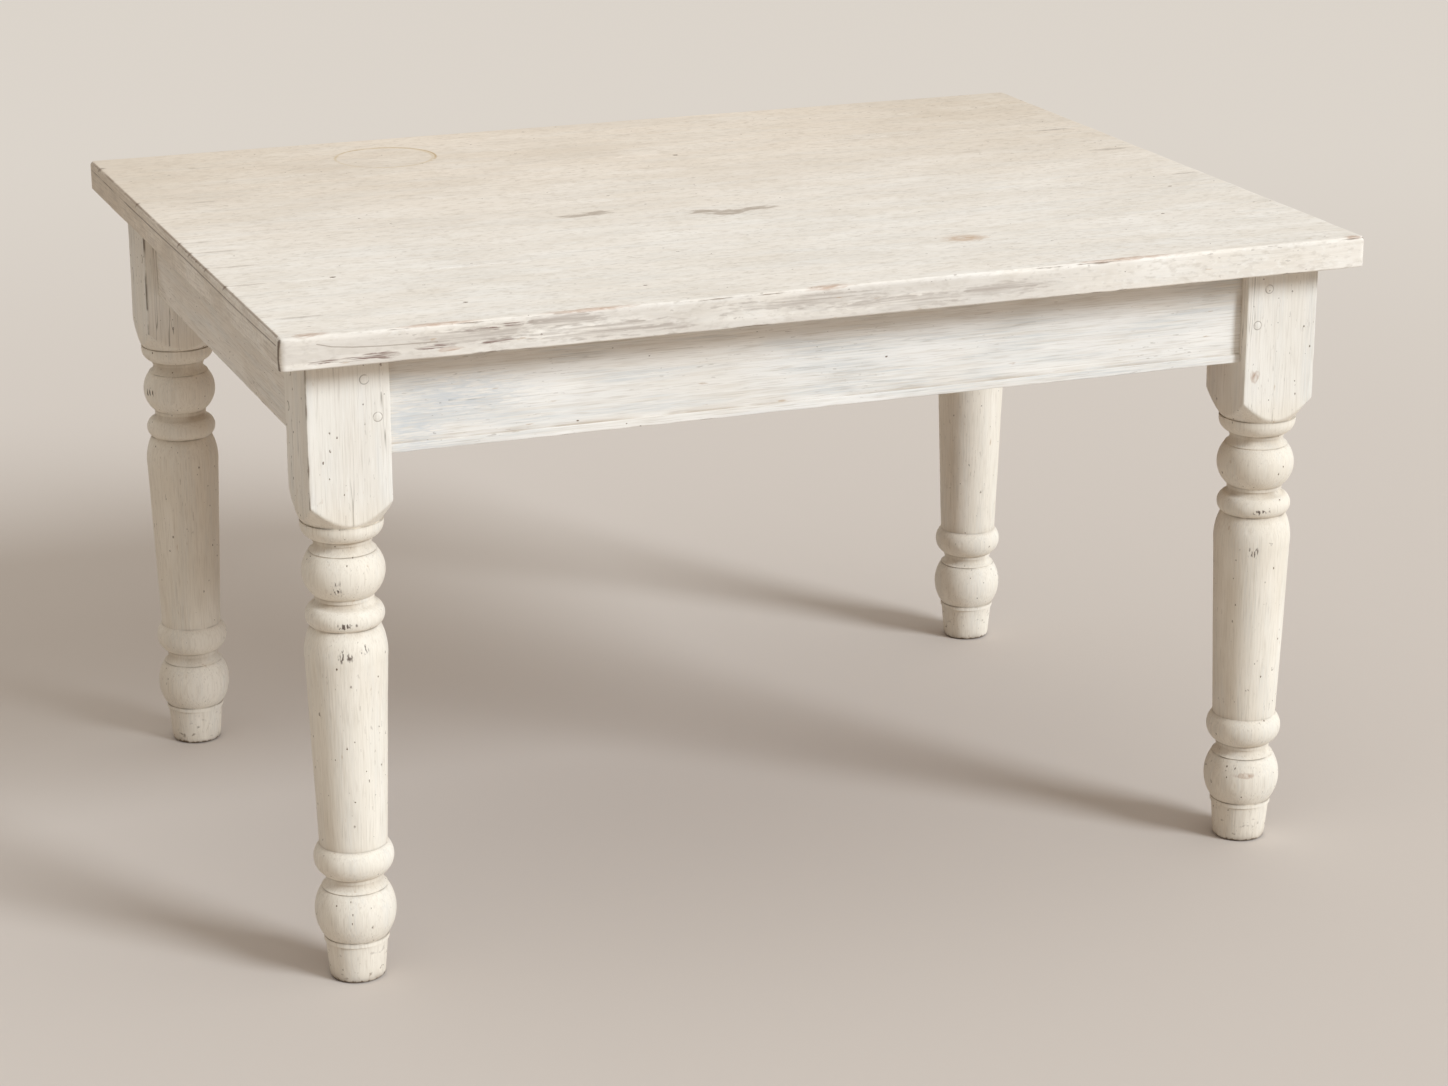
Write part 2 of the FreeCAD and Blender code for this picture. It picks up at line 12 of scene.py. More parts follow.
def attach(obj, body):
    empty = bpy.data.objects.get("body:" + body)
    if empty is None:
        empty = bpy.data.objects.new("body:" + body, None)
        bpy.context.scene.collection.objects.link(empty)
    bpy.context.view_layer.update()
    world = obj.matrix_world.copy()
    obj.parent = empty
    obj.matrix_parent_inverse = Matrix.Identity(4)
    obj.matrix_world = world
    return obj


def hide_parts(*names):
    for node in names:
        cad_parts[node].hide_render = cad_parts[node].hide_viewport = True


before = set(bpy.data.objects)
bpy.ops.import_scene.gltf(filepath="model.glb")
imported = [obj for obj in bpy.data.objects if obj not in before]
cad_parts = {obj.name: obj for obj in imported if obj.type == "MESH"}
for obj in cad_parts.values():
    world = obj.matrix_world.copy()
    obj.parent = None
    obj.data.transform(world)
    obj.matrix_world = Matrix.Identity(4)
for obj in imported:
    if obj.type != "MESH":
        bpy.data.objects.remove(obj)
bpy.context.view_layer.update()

MM = 0.001

# Sizes of the object, in mm, as the CAD part has them
HALF_LENGTH = 640.0
HALF_WIDTH = 485.0
TOP_LOW = 724.0
TOP_HIGH = 760.0
BOARD_JOINTS = (-245.0, 12.0, 255.0)
LEG_X = 558.0
LEG_Y = 397.0
LEG_HALF = 46.0
LEG_INNER_X = LEG_X - LEG_HALF
LEG_INNER_Y = LEG_Y - LEG_HALF
APRON_LOW = 609.0
APRON_HIGH = 724.0
LONG_FACE = 429.0
END_FACE = 588.0
APRON_THICK = 22.0
BEAD_TOP = 620.0
BEAD_PROUD = 2.0
BEAD_ROUND = 1.5
MUNTIN_HALF = 22.0
DRAWER_RAIL_TOP = 631.0
TOP_RAIL_LOW = 706.0
KNOB_X = 267.0
KNOB_Z = 667.8
DRAWER_FRONT_HALF_LENGTH = 243.5
DRAWER_FRONT_HALF_HEIGHT = 36.5
DRAWER_FRONT_THICK = 20.0


# Nodes and colours

NODE_FAMILIES = {
    "ShaderNodeTree": ("ShaderNode",),
    "GeometryNodeTree": ("GeometryNode", "FunctionNode", "ShaderNode", "Node"),
}


def colour(text):
    """Linear RGBA of an sRGB hex colour."""
    parts = [int(text[i:i + 2], 16) / 255 for i in (0, 2, 4)]
    linear = [c / 12.92 if c <= 0.04045 else ((c + 0.055) / 1.055) ** 2.4 for c in parts]
    return (*linear, 1.0)


def feed(tree, made, inputs):
    """Sets a node's inputs, each to a plain value, a socket, or a node whose first output in use is meant."""
    for key, value in inputs.items():
        if isinstance(value, bpy.types.Node):
            value = next(socket for socket in value.outputs if socket.enabled)
        if isinstance(value, bpy.types.NodeSocket):
            tree.links.new(value, made.inputs[key])
        else:
            made.inputs[key].default_value = value


def node(tree, kind, *given, **settings):
    """Adds one node. kind may end in a colon and an operation, and given are its inputs, in order or, in a
    dict, by name."""
    kind, _, operation = kind.partition(":")
    names = [family + kind for family in NODE_FAMILIES[tree.bl_idname]]
    made = tree.nodes.new(next(name for name in names if hasattr(bpy.types, name)))
    if operation:
        settings["operation"] = operation
    for title, value in settings.items():
        setattr(made, title, value)
    for number, value in enumerate(given):
        feed(tree, made, value if isinstance(value, dict) else {number: value})
    return made


def on_face(axis, level, deep, rows):
    """Middles and reaches in mm of marks on a face across an axis, from rows of two places, two reaches."""
    return [(np.insert(row[:2], axis, level), np.insert(row[2:], axis, deep))
            for row in np.array(rows, float)]


class Surface:
    """Node tree of a finish, with the patterns that the finishes share, each worked out from sizes in mm."""

    def __init__(self, tree, run=0):
        """run is the axis along which the wood's grain runs."""
        self.tree = tree
        self.run = run
        self.add = functools.partial(node, tree)
        self.coordinates = self.add("TexCoord").outputs
        self.place = self.coordinates["Object"]

    def show(self, inputs):
        """Gives the shader its inputs."""
        feed(self.tree, self.tree.nodes["Principled BSDF"], inputs)

    def cut_in(self, value, low, high, most=1.0):
        """Mask that comes in smoothly between low and high, up to most."""
        return self.add("MapRange", {"Value": value, "From Min": low, "From Max": high, "To Max": most},
                        interpolation_type="SMOOTHSTEP")

    def cells(self, size, shift):
        """Place counted in cells of that size in mm, moved on by shift cells."""
        scale = [1 / (length * MM) for length in size]
        start = (shift, shift * 1.7, shift * 0.6)
        return self.add("Mapping", {"Vector": self.place, "Location": start, "Scale": scale})

    def noise(self, size, shift, detail):
        """Noise in cells of that size."""
        return self.add("TexNoise", {"Vector": self.cells(size, shift), "Scale": 1.0, "Detail": detail})

    def laid(self, length, width):
        """Size of a cell that lies along the grain: length the way the wood runs, width across it."""
        size = [width, width, width]
        size[self.run] = length
        return size

    def patches(self, size, low, high, most=1.0, shift=0.0, detail=2.0):
        """Mask of patches of about that size: noise that comes in between low and high."""
        return self.cut_in(self.noise(size, shift, detail), low, high, most)

    def grain(self, length, width, *limits, **more):
        """Mask of patches that lie along the grain."""
        return self.patches(self.laid(length, width), *limits, **more)

    def hairlines(self, length, width, thick, shift):
        """Mask of thin wandering lines along the grain: where a noise crosses its middle."""
        noise = self.noise(self.laid(length, width), shift, 2.0)
        far = self.add("Math:ABSOLUTE", self.add("Math:SUBTRACT", noise, 0.5))
        return self.add("MapRange", {"Value": far, "From Min": thick, "From Max": 0.0})

    def specks(self, length, width, share, radius, shift):
        """Mask of ragged specks, at most one to a cell along the grain; share of the cells have one."""
        cells = self.cells(self.laid(length, width), shift)
        spots = self.add("TexVoronoi", {"Vector": cells, "Scale": 1.0, "Randomness": 1.0})
        luck = self.add("SeparateColor", spots.outputs["Color"])
        reach = self.add("MapRange", {"Value": luck, "From Min": 1 - share, "From Max": 1.0,
                                      "To Min": 0.25 * radius, "To Max": radius})
        lucky = self.add("Math:GREATER_THAN", luck, 1 - share)
        ratio = self.add("Math:DIVIDE", spots, reach)
        uneven = self.add("Math:ADD", ratio, self.grain(2, 2, 0.25, 0.75, most=0.7, shift=shift))
        return self.add("MapRange", {"Value": uneven, "From Min": 1.0, "From Max": 0.6, "To Max": lucky})

    def away(self, middle, scale, place=None):
        """Distance from a middle in mm, counted by a scale per mm on each axis."""
        start = [-m * s for m, s in zip(middle, scale)]
        moved = self.add("Mapping", {"Vector": self.place if place is None else place, "Location": start,
                                     "Scale": [s / MM for s in scale]})
        return self.add("VectorMath:LENGTH", moved)

    def marks(self, spots, ragged, place=None):
        """Mask of single marks, each given by its middle and its reach in mm, with a ragged edge."""
        together = 0.0
        for middle, reach in spots:
            far = self.away(middle, [1 / r for r in reach], place)
            mark = self.cut_in(self.add("Math:ADD", far, ragged), 1.0, 0.55)
            together = self.add("Math:MAXIMUM", together, mark)
        return together

    def ring(self, middle, flat, radius, width, most, place=None):
        """Mask of a ring drawn on a face, sizes in mm: flat is 1 along the face's axes and 0 across it."""
        off = self.add("Math:SUBTRACT", self.away(middle, flat, place), radius)
        return self.cut_in(self.add("Math:ABSOLUTE", off), width, 0.0, most)

    def scratch(self, points, width, most):
        """Mask of a thin line through the given points, with its width in mm."""
        nearest = 1.0
        for start, end in zip(points, points[1:]):
            first = Vector(start) * MM
            way = Vector(end) * MM - first
            off = self.add("VectorMath:SUBTRACT", self.place, first)
            share = self.add("Clamp", self.add("VectorMath:DOT_PRODUCT", off, way / way.length_squared))
            along = self.add("VectorMath:SCALE", way, {"Scale": share})
            nearest = self.add("Math:MINIMUM", nearest, self.add("VectorMath:DISTANCE", off, along))
        return self.cut_in(nearest, width * MM, 0.3 * width * MM, most)

    def coats(self, ground, layers, way="MIX"):
        """Colour of a ground with further coats over it, each of masks, multiplied, and then its colour."""
        top = colour(ground) if isinstance(ground, str) else ground
        for *masks, shade in layers:
            share = masks[0]
            for mask in masks[1:]:
                share = self.add("Math:MULTIPLY", share, mask)
            shade = colour(shade) if isinstance(shade, str) else shade
            top = self.add("Mix", {0: share, 6: top, 7: shade}, data_type="RGBA", blend_type=way)
        return top


def new_finish(name, run=0):
    """New material, and its node tree as a surface."""
    finish = bpy.data.materials.new(name)
    finish.use_nodes = True
    return finish, Surface(finish.node_tree, run)


# Finishes

IVORY_TOP = "EDE5D9"
IVORY_RAIL = "EAE6DF"
IVORY_END = "E9E1D5"
IVORY_LEG = "EBE5DA"
IVORY_PALE = "F5F0E7"
IVORY_AGED = "DFD5C6"
THIN_PAINT = "CCCCC9"
BRUSHED_GREY = "C4BAAC"
GRAIN_LINE = "85796B"
BARE_GREY = "A99E92"
BARE_BROWN = "86705F"
PINE = "B9966B"
PINE_DARK = "8F6C47"
# Tan of dirt, used also for painted shade in hollows and joints
GRIME_AND_SHADE = "A8947A"
CREASE_SHADE = "6A5B4C"
# Dark of the painted shade at the steps of turnings
SPECK = "66533F"
PIT = "9C9186"


def pine_colour(face):
    """Bare pine gone brown: growth lines a few mm apart, long waves of tone and short dark flecks."""
    return face.coats(PINE, [
        (face.grain(700, 45, 0.35, 0.65, most=0.6, shift=3.1), "A9855A"),
        (face.grain(420, 3.4, 0.42, 0.66, most=0.75, shift=5.3), "9A7650"),
        (face.grain(60, 1.8, 0.62, 0.72, most=0.5, shift=8.8), PINE_DARK),
    ])


def painted_pine(name, run, ground, fleck, brushed, thin, cracked, speckled, marked=None, tinted=None,
                 shaped=None):
    """Pine brushed with ivory paint that has gone chalky: the grain shows through as fine short flecks,
    the coat is thin and bluish grey where it was rubbed, dark specks and hairline cracks follow the grain,
    corners are worn to grey and brown wood in places, hollows and joints hold a little dirt and painted
    shade, and dark lines of painted shade lie at the steps of turnings. fleck is the length and width of a
    fleck of the grain, in mm, and the other numbers are shares from 0 to 1. shaped gives wear and bare
    wood from the place alone, for solids that carry no numbers of their own."""
    finish, face = new_finish(name, run)
    worn, grime_and_shade_mask, crease_shade_mask, unpainted, turned_part = [
        face.add("Attribute", attribute_name=title).outputs["Fac"]
        for title in ("wear", "grime", "crease_shade", "bare", "turned")
    ]
    if shaped:
        worn, unpainted = shaped(face)
    long_fleck, wide_fleck = fleck
    sawn_part = face.add("Math:SUBTRACT", 1.0, turned_part)
    rubbed_zone = face.grain(170, 24, 0.42, 0.66, most=thin, shift=9.4)
    rubbed = face.grain(60, 1.3 * wide_fleck, 0.38, 0.66, shift=6.7)
    coarse = face.grain(2.1 * long_fleck, 2.1 * wide_fleck, 0.48, 0.72, most=0.8 * brushed, shift=16.8)
    dashes = face.grain(long_fleck, wide_fleck, 0.50, 0.74, most=brushed, shift=4.1)
    glints = face.grain(0.8 * long_fleck, wide_fleck, 0.54, 0.76, most=brushed, shift=14.6)
    crack_zone = face.grain(240, 26, 0.48, 0.60, most=cracked, shift=12.9)
    cracks = face.hairlines(330, 11.0, 0.011, shift=15.2)
    flake_zone = face.grain(160, 80, 0.42, 0.58, shift=19.5)
    flakes = face.grain(12, 1.3 * wide_fleck, 0.68, 0.72, most=0.5, shift=21.5)
    dots = face.specks(14, 8, speckled, 0.20, shift=1.4)
    paint = face.coats(ground, [
        (face.grain(210, 95, 0.38, 0.70, most=0.45), IVORY_AGED),
        (face.grain(110, 38, 0.46, 0.74, most=0.5, shift=2.3), IVORY_PALE),
        (rubbed_zone, "E2DFD8"),
        (rubbed_zone, rubbed, THIN_PAINT),
        (face.grain(380, 4.2, 0.55, 0.72, most=0.3 * brushed, shift=3.7), BRUSHED_GREY),
        (coarse, "D6CCBD"),
        (dashes, BRUSHED_GREY),
        (glints, IVORY_PALE),
        (crack_zone, cracks, sawn_part, GRAIN_LINE),
        (flake_zone, flakes, BARE_GREY),
        (dots, SPECK),
        (face.specks(26, 15, speckled, 0.16, shift=7.7), PIT),
    ])
    if tinted:
        paint = face.coats(paint, tinted(face), "MULTIPLY")
    if marked:
        paint = face.coats(paint, marked(face))

    ragged = face.grain(24, 6, 0.2, 0.8, shift=18.3, detail=5.0)
    worn_here = face.add("Math:MULTIPLY", worn, face.grain(150, 150, 0.45, 0.62, shift=28.0))
    worn_sum = face.add("Math:ADD", worn_here, ragged)
    edge_grey = face.cut_in(worn_sum, 1.12, 1.42, 0.75)
    whole = face.coats(paint, [
        # Dirt and painted shade in hollows and where parts meet
        (grime_and_shade_mask, face.grain(60, 30, 0.25, 0.70, most=0.6, shift=25.1), GRIME_AND_SHADE),
        # Dark lines of painted shade at the steps of turnings and at the foot's floor edge
        (crease_shade_mask, face.grain(22, 22, 0.30, 0.62, most=0.8, shift=26.4), CREASE_SHADE),
        (edge_grey, BARE_GREY),
        (face.cut_in(worn_sum, 1.36, 1.62, 0.8), BARE_BROWN),
        (face.cut_in(face.add("Math:ADD", unpainted, ragged), 0.92, 1.08), pine_colour(face)),
    ])
    rough = face.add("MapRange", {"Value": edge_grey, "To Min": 0.8, "To Max": 0.92})
    brush_height = face.grain(40, 1.8, 0.3, 0.7, most=0.5, shift=31.0)
    height = face.add("Math:SUBTRACT", brush_height, face.add("Math:MAXIMUM", edge_grey, dots))
    # Brush marks and lost paint are about a third of a millimetre deep
    bump = face.add("Bump", {"Height": height, "Strength": 0.45, "Distance": 0.35 * MM})
    face.show({"Base Color": whole, "Roughness": rough, "Normal": bump, "Specular IOR Level": 0.2})
    return finish


def bare_pine(name, run):
    """Unpainted pine, planed and gone brown with age: growth lines, dull, dusty in places."""
    finish, face = new_finish(name, run)
    whole = face.coats(pine_colour(face), [
        (face.grain(160, 40, 0.56, 0.72, most=0.4, shift=11.0), "76573A"),
        (face.grain(120, 120, 0.45, 0.75, most=0.35, shift=2.0), "C8B598"),
    ])
    lines = face.grain(300, 2.2, 0.3, 0.7, shift=5.3)
    # Saw and plane marks are about a quarter of a millimetre deep
    bump = face.add("Bump", {"Height": lines, "Strength": 0.5, "Distance": 0.25 * MM})
    face.show({"Base Color": whole, "Normal": bump, "Roughness": 0.72})
    return finish


def dull_steel(name):
    """Plain steel of old screws and nails, gone grey-brown: dull, with rust in patches."""
    finish, face = new_finish(name)
    rust = face.grain(2.5, 2.5, 0.48, 0.62)
    metal = face.add("MapRange", {"Value": rust, "To Min": 1.0, "To Max": 0.0})
    rough = face.add("MapRange", {"Value": rust, "To Min": 0.45, "To Max": 0.85})
    face.show({"Base Color": face.coats("7A7672", [(rust, "6B4A35")]), "Metallic": metal, "Roughness": rough})
    return finish


# Marks of use, each where the real table has it, and some painted shade

def warm_back(face, y):
    """Mask of the back of the top, where it is coloured warmer and a little darker."""
    return face.cut_in(y, -0.30, 0.42, 0.85)


def top_tint_and_shade(face):
    """The top is warmer and a little darker towards the back, with painted shade at its back corners."""
    axes = face.add("SeparateXYZ", face.place).outputs
    out = face.add("Math:ABSOLUTE", axes["X"])
    return [
        (warm_back(face, axes["Y"]), "F7F0E8"),
        # Painted shade: the back corners of the top are made a little darker
        (face.cut_in(axes["Y"], -0.05, 0.42), face.cut_in(out, 0.15, 0.58, 0.85), "F4F3F1"),
    ]


def top_marks(face):
    """Clouds towards the back, a faint joint, a tan ring left by a pot, two grey flakes, a brown burn, small
    dents, grimy end grain, chips and scuffs along the ends, dark lines along the left end and the back, and a
    front edge with painted shade on all but its right end, rubbed down to grey and purple-brown wood."""
    fine = face.grain(14, 2.6, 0.15, 0.85, shift=41.0, detail=5.0)
    ragged = face.add("Math:SUBTRACT", fine, 0.5)
    broken = face.grain(60, 60, 0.30, 0.52, shift=43.0, detail=5.0)
    axes = face.add("SeparateXYZ", face.place).outputs
    cloud = face.patches((190, 130, 130), 0.42, 0.70, most=0.45, shift=44.0)
    joint = face.scratch([(-640, 12, 760), (640, 12, 760)], 1.2, 0.4)
    ring_near = face.marks(on_face(2, TOP_HIGH, 20, [(-246, 394, 98, 76)]), ragged)
    ring_line = face.ring((-284, 365, 760), (1, 1, 0), 63, 2.8, 0.75)
    ring_faint = face.ring((-287, 364, 760), (1, 1, 0), 62, 3.0, 0.38)
    scuffs = face.marks(on_face(2, TOP_HIGH, 5, [
        (-616, -20, 22, 3), (-606, -74, 32, 3.5), (-604, -152, 30, 4), (-612, -242, 24, 4),
        (-596, -402, 36, 5), (-560, 190, 22, 4), (596, 72, 36, 7), (612, -96, 24, 5), (585, 214, 30, 6),
    ]), ragged)
    flakes = face.marks(on_face(2, TOP_HIGH, 8, [
        (-170, -48, 24, 9), (-140, -42, 24, 12), (-22, -80, 22, 11), (6, -95, 28, 17), (42, -86, 34, 11),
    ]), ragged)
    burn = face.marks(on_face(2, TOP_HIGH, 8, [(207, -323, 32, 20)]), ragged)
    dents = face.marks(on_face(2, TOP_HIGH, 6, [
        (63, 242, 4, 3), (-517, -241, 4, 3), (560, -158, 3, 2.2), (480, -290, 3, 2.2), (-211, -402, 2.8, 2),
        (-415, -403, 2.8, 2),
    ]), ragged)
    on_front = face.cut_in(axes["Y"], -0.4815, -0.4845)
    # Painted shade on the front edge of the top, over all but its right end
    shaded_front_span = face.cut_in(axes["X"], 0.42, 0.16)
    front_shade_patches = face.grain(130, 13, 0.28, 0.60, most=0.52, shift=50.0, detail=4.0)
    rubbed = face.marks(on_face(1, -HALF_WIDTH, 10, [
        (-430, 744, 80, 10), (-290, 738, 90, 10), (-60, 748, 110, 9), (60, 736, 110, 9), (175, 740, 70, 9),
    ]) + [((-333, -485, 752), (60, 11, 9)), ((-225, -485, 733), (40, 9, 6))], ragged)
    purple = face.marks(on_face(1, -HALF_WIDTH, 9, [
        (-420, 749.5, 26, 3), (-388, 753, 24, 3), (-404, 736, 30, 2.5), (-574, 731.5, 40, 3),
        (-532, 733, 28, 4), (-470, 736, 34, 2.5),
    ]), ragged)
    brown = face.marks([
        ((-458, -485, 732), (16, 9, 3)), ((-28, -480, 759), (30, 9, 3)), ((624, -480, 759), (14, 8, 3)),
        ((-606, -477, 760), (24, 9, 3)), ((-470, -481, 760), (50, 7, 3)), ((-300, -481, 760), (60, 6, 3)),
        ((330, -481, 760), (80, 6, 3)),
    ], ragged)
    crack = face.scratch([
        (-600, -485, 751), (-585, -485, 747), (-562, -485, 744.4), (-530, -485, 742.6), (-471, -485, 741.4),
    ], 0.9, 0.6)
    on_end = face.cut_in(face.add("Math:ABSOLUTE", axes["X"]), 0.6355, 0.6385)
    end_stain = face.patches((9, 120, 30), 0.46, 0.66, most=0.4, shift=49.0)
    end_grime = face.patches((9, 42, 2.0), 0.40, 0.76, most=0.5, shift=48.0, detail=4.0)
    end_line = face.scratch([
        (-640, 470, 750), (-640, 210, 749), (-640, -50, 750.4), (-640, -300, 748.8), (-640, -470, 750),
    ], 1.3, 0.65)
    corner_line = face.scratch([
        (-639, -481, 757), (-640, -479, 747), (-640, -478, 736), (-640, -480, 726),
    ], 3.4, 0.8)
    arris_line = face.scratch([(-637.5, 470, 759), (-637.5, -470, 759)], 1.9, 0.65)
    back_line = face.scratch([(-632, 482.5, 759.2), (632, 482.5, 759.2)], 2.6, 0.75)
    chips = face.marks([
        ((-637, -16, 758), (7, 4, 4)), ((-637, -70, 758), (6, 3.5, 4)), ((-637, -149, 758), (6, 4, 4)),
        ((-637, -238, 758), (7, 4, 4)), ((-637, 210, 758), (6, 6, 4)), ((-636, 430, 758), (8, 6, 4)),
    ], ragged)
    return [
        (cloud, warm_back(face, axes["Y"]), "D5C8B7"),
        (joint, broken, "B9AC9B"),
        (ring_faint, broken, "C3A975"),
        (ring_line, ring_near, "B39359"),
        (scuffs, fine, "ADA194"),
        (flakes, face.grain(20, 9, 0.20, 0.55, shift=45.0), "B9AC9D"),
        (burn, fine, "B79069"),
        (dents, "7D6B5C"),
        # Painted shade along the front edge
        (on_front, shaded_front_span, front_shade_patches, "C6BDB2"),
        (rubbed, face.grain(70, 2.2, 0.28, 0.74, shift=47.0, detail=4.0), "B3A89D"),
        (purple, face.grain(40, 1.5, 0.38, 0.66, shift=46.0, detail=4.0), "7B6258"),
        (brown, fine, "B08C72"),
        (crack, "8A7A6A"),
        (on_end, end_stain, "C9BCAB"),
        (on_end, end_grime, "B2A598"),
        (end_line, broken, "66574A"),
        (corner_line, "5B4737"),
        (arris_line, broken, "947F6C"),
        (back_line, broken, "A28C74"),
        (chips, fine, "705B4B"),
    ]


def leg_tint(face):
    """The turned part of a leg is warmer than its block."""
    z = face.add("SeparateXYZ", face.place).outputs["Z"]
    return [(face.cut_in(z, 0.575, 0.535), "FEFBF6")]


def leg_marks(face):
    """Thin rings of dirt round the peg heads, chips and scuffs, feet that are dirty and scuffed near the
    floor, a dark line down a corner of the front left block, and a line of painted shade down a corner of
    the back left block."""
    fine = face.grain(12, 5, 0.15, 0.85, shift=51.0, detail=4.0)
    ragged = face.add("Math:SUBTRACT", fine, 0.5)
    folded = face.add("VectorMath:ABSOLUTE", face.place)
    broken = face.grain(9, 9, 0.28, 0.48, shift=53.0)
    long_broken = face.grain(40, 40, 0.40, 0.58, shift=55.0, detail=5.0)
    rings = []
    for middle in ((604, 379, 697), (604, 365.5, 655)):
        rings.append(face.ring(middle, (0, 1, 1), 5.0, 0.9, 0.65, folded))
    for middle in ((540, 443, 697), (526.5, 443, 655)):
        rings.append(face.ring(middle, (1, 0, 1), 5.0, 0.9, 0.65, folded))
    chips = face.marks([((526, -443, 593.5), (7, 6, 9)), ((540, -440, 91), (16, 18, 4))], ragged)
    scuffs = face.marks([
        ((-600, 380, 478), (10, 12, 6)), ((-576, -437, 468), (7, 8, 8)), ((-572, -440, 390), (8, 9, 9)),
        ((-549, -442, 396), (6, 8, 6)), ((-568, -438, 424), (12, 8, 4)), ((545, -438, 424), (12, 8, 4)),
        ((539, -440, 375), (9, 9, 8)), ((-545, -436, 80), (6, 6, 5)),
    ], ragged)
    z = face.add("SeparateXYZ", face.place).outputs["Z"]
    foot = face.cut_in(face.add("Math:MULTIPLY_ADD", z, 180.0, fine), 1.15, 0.75, 0.9)
    near_floor = face.cut_in(z, 0.060, 0.005, 0.75)
    corner = face.scratch([(-604, -442, 722), (-604, -442.5, 640), (-604, -442, 556)], 2.6, 0.75)
    # Painted shade: a dark line down the corner of the back left block
    back_corner_shade = face.scratch([(-603, 351.5, 700), (-604, 351, 556)], 2.8, 0.75)
    return [(ring, broken, "7F7060") for ring in rings] + [
        (chips, fine, "A58268"),
        (scuffs, face.patches((2.4, 2.4, 9), 0.50, 0.58, shift=54.0), "6E6259"),
        (near_floor, face.patches((9, 9, 7), 0.60, 0.72, shift=56.0, detail=6.0), "7A6958"),
        (foot, "65513F"),
        (corner, long_broken, "75634F"),
        (back_corner_shade, long_broken, "5E4E3F"),
    ]


def apron_marks(face):
    """A rough bluish patch near the left end of the front apron, where a knot shows through the paint."""
    fine = face.grain(20, 2.6, 0.30, 0.70, shift=61.0, detail=4.0)
    ragged = face.add("Math:SUBTRACT", fine, 0.5)
    swirl = face.marks(on_face(1, -LONG_FACE, 9, [(-430, 664, 90, 30), (-486, 640, 40, 40)]), ragged)
    line = face.scratch([(-444, -429, 661), (-425, -429, 659.5), (-404, -429, 660)], 1.0, 0.8)
    return [(swirl, fine, "CBCDCD"), (line, fine, "7D7A78")]


def drawer_front_shape(face):
    """Wear on the outer edges of the drawer fronts, fading over a few mm, and bare wood inside."""
    middle = (KNOB_X * MM, 0, KNOB_Z * MM)
    reach = (DRAWER_FRONT_HALF_LENGTH * MM, LONG_FACE * MM, DRAWER_FRONT_HALF_HEIGHT * MM)
    folded = face.add("VectorMath:ABSOLUTE", face.place)
    away = face.add("VectorMath:ABSOLUTE", face.add("VectorMath:SUBTRACT", folded, middle))
    depth = face.add("SeparateXYZ", face.add("VectorMath:SUBTRACT", reach, away)).outputs
    lesser = face.add("Math:MINIMUM", depth["X"], depth["Z"])
    greater = face.add("Math:MAXIMUM", depth["X"], depth["Z"])
    edge = face.add("Math:MAXIMUM", lesser, face.add("Math:MINIMUM", greater, depth["Y"]))
    worn = face.add("Math:EXPONENT", face.add("Math:MULTIPLY", edge, -1 / (2.6 * MM)))
    bare = face.cut_in(depth["Y"], (DRAWER_FRONT_THICK - 1) * MM, (DRAWER_FRONT_THICK - 0.5) * MM)
    return worn, bare


def drawer_front_marks(face):
    """Paint gone grey and greasy round the knobs, where hands have been."""
    fine = face.grain(26, 9, 0.15, 0.85, shift=71.0, detail=5.0)
    ragged = face.add("Math:SUBTRACT", fine, 0.5)
    folded = face.add("VectorMath:ABSOLUTE", face.place)
    wide = face.marks(on_face(1, LONG_FACE, 15, [(KNOB_X, KNOB_Z, 60, 34)]), ragged, folded)
    close = face.marks(on_face(1, LONG_FACE, 15, [(KNOB_X, KNOB_Z, 22, 20)]), ragged, folded)
    return [(wide, fine, 0.7, "C9BCA8"), (close, fine, GRIME_AND_SHADE)]


TOP_FINISH = painted_pine("ivory_chalk_paint_on_pine_top", 0, IVORY_TOP, (10, 4.2), 0.42, 0.15, 0.2, 0.13,
                          top_marks, top_tint_and_shade)
LONG_FINISH = painted_pine("ivory_chalk_paint_on_pine_long_rails", 0, IVORY_RAIL, (38, 1.5), 0.5, 0.7, 0.2,
                           0.12, apron_marks)
END_FINISH = painted_pine("ivory_chalk_paint_on_pine_end_rails", 1, IVORY_END, (34, 1.6), 0.48, 0.35, 0.4,
                          0.20)
LEG_FINISH = painted_pine("ivory_chalk_paint_on_pine_legs", 2, IVORY_LEG, (36, 1.5), 0.34, 0.25, 0.7, 0.8,
                          leg_marks, leg_tint)
DRAWER_FINISH = painted_pine("ivory_chalk_paint_on_pine_drawer_fronts", 0, IVORY_RAIL, (38, 1.5), 0.5, 0.5,
                             0.2, 0.14, drawer_front_marks, shaped=drawer_front_shape)
PINE_X = bare_pine("aged_bare_pine_lengthways", 0)
PINE_Y = bare_pine("aged_bare_pine_crossways", 1)
STEEL = dull_steel("dull_rusted_steel")


# Meshes

def outline_points(path, step):
    """Points along an outline of lines (x, z) and arcs (through x, through z, x, z), about step mm apart."""
    points = [np.array(path[0], float)]
    for part in path[1:]:
        start = points[-1]
        end = np.array(part[-2:], float)
        if len(part) == 2:
            count = max(1, round(np.linalg.norm(end - start) / step))
            points += [start + (end - start) * n / count for n in range(1, count + 1)]
            continue
        middle = np.array(part[:2], float)
        sides = 2 * np.array([middle - start, end - start])
        centre = np.linalg.solve(sides, [middle @ middle - start @ start, end @ end - start @ start])
        angles = np.unwrap([math.atan2(p[1] - centre[1], p[0] - centre[0]) for p in (start, middle, end)])
        radius = np.linalg.norm(start - centre)
        count = max(3, round(radius * abs(angles[2] - angles[0]) / step))
        for n in range(1, count + 1):
            angle = angles[0] + (angles[2] - angles[0]) * n / count
            points.append(centre + radius * np.array([math.cos(angle), math.sin(angle)]))
    return np.array(points)


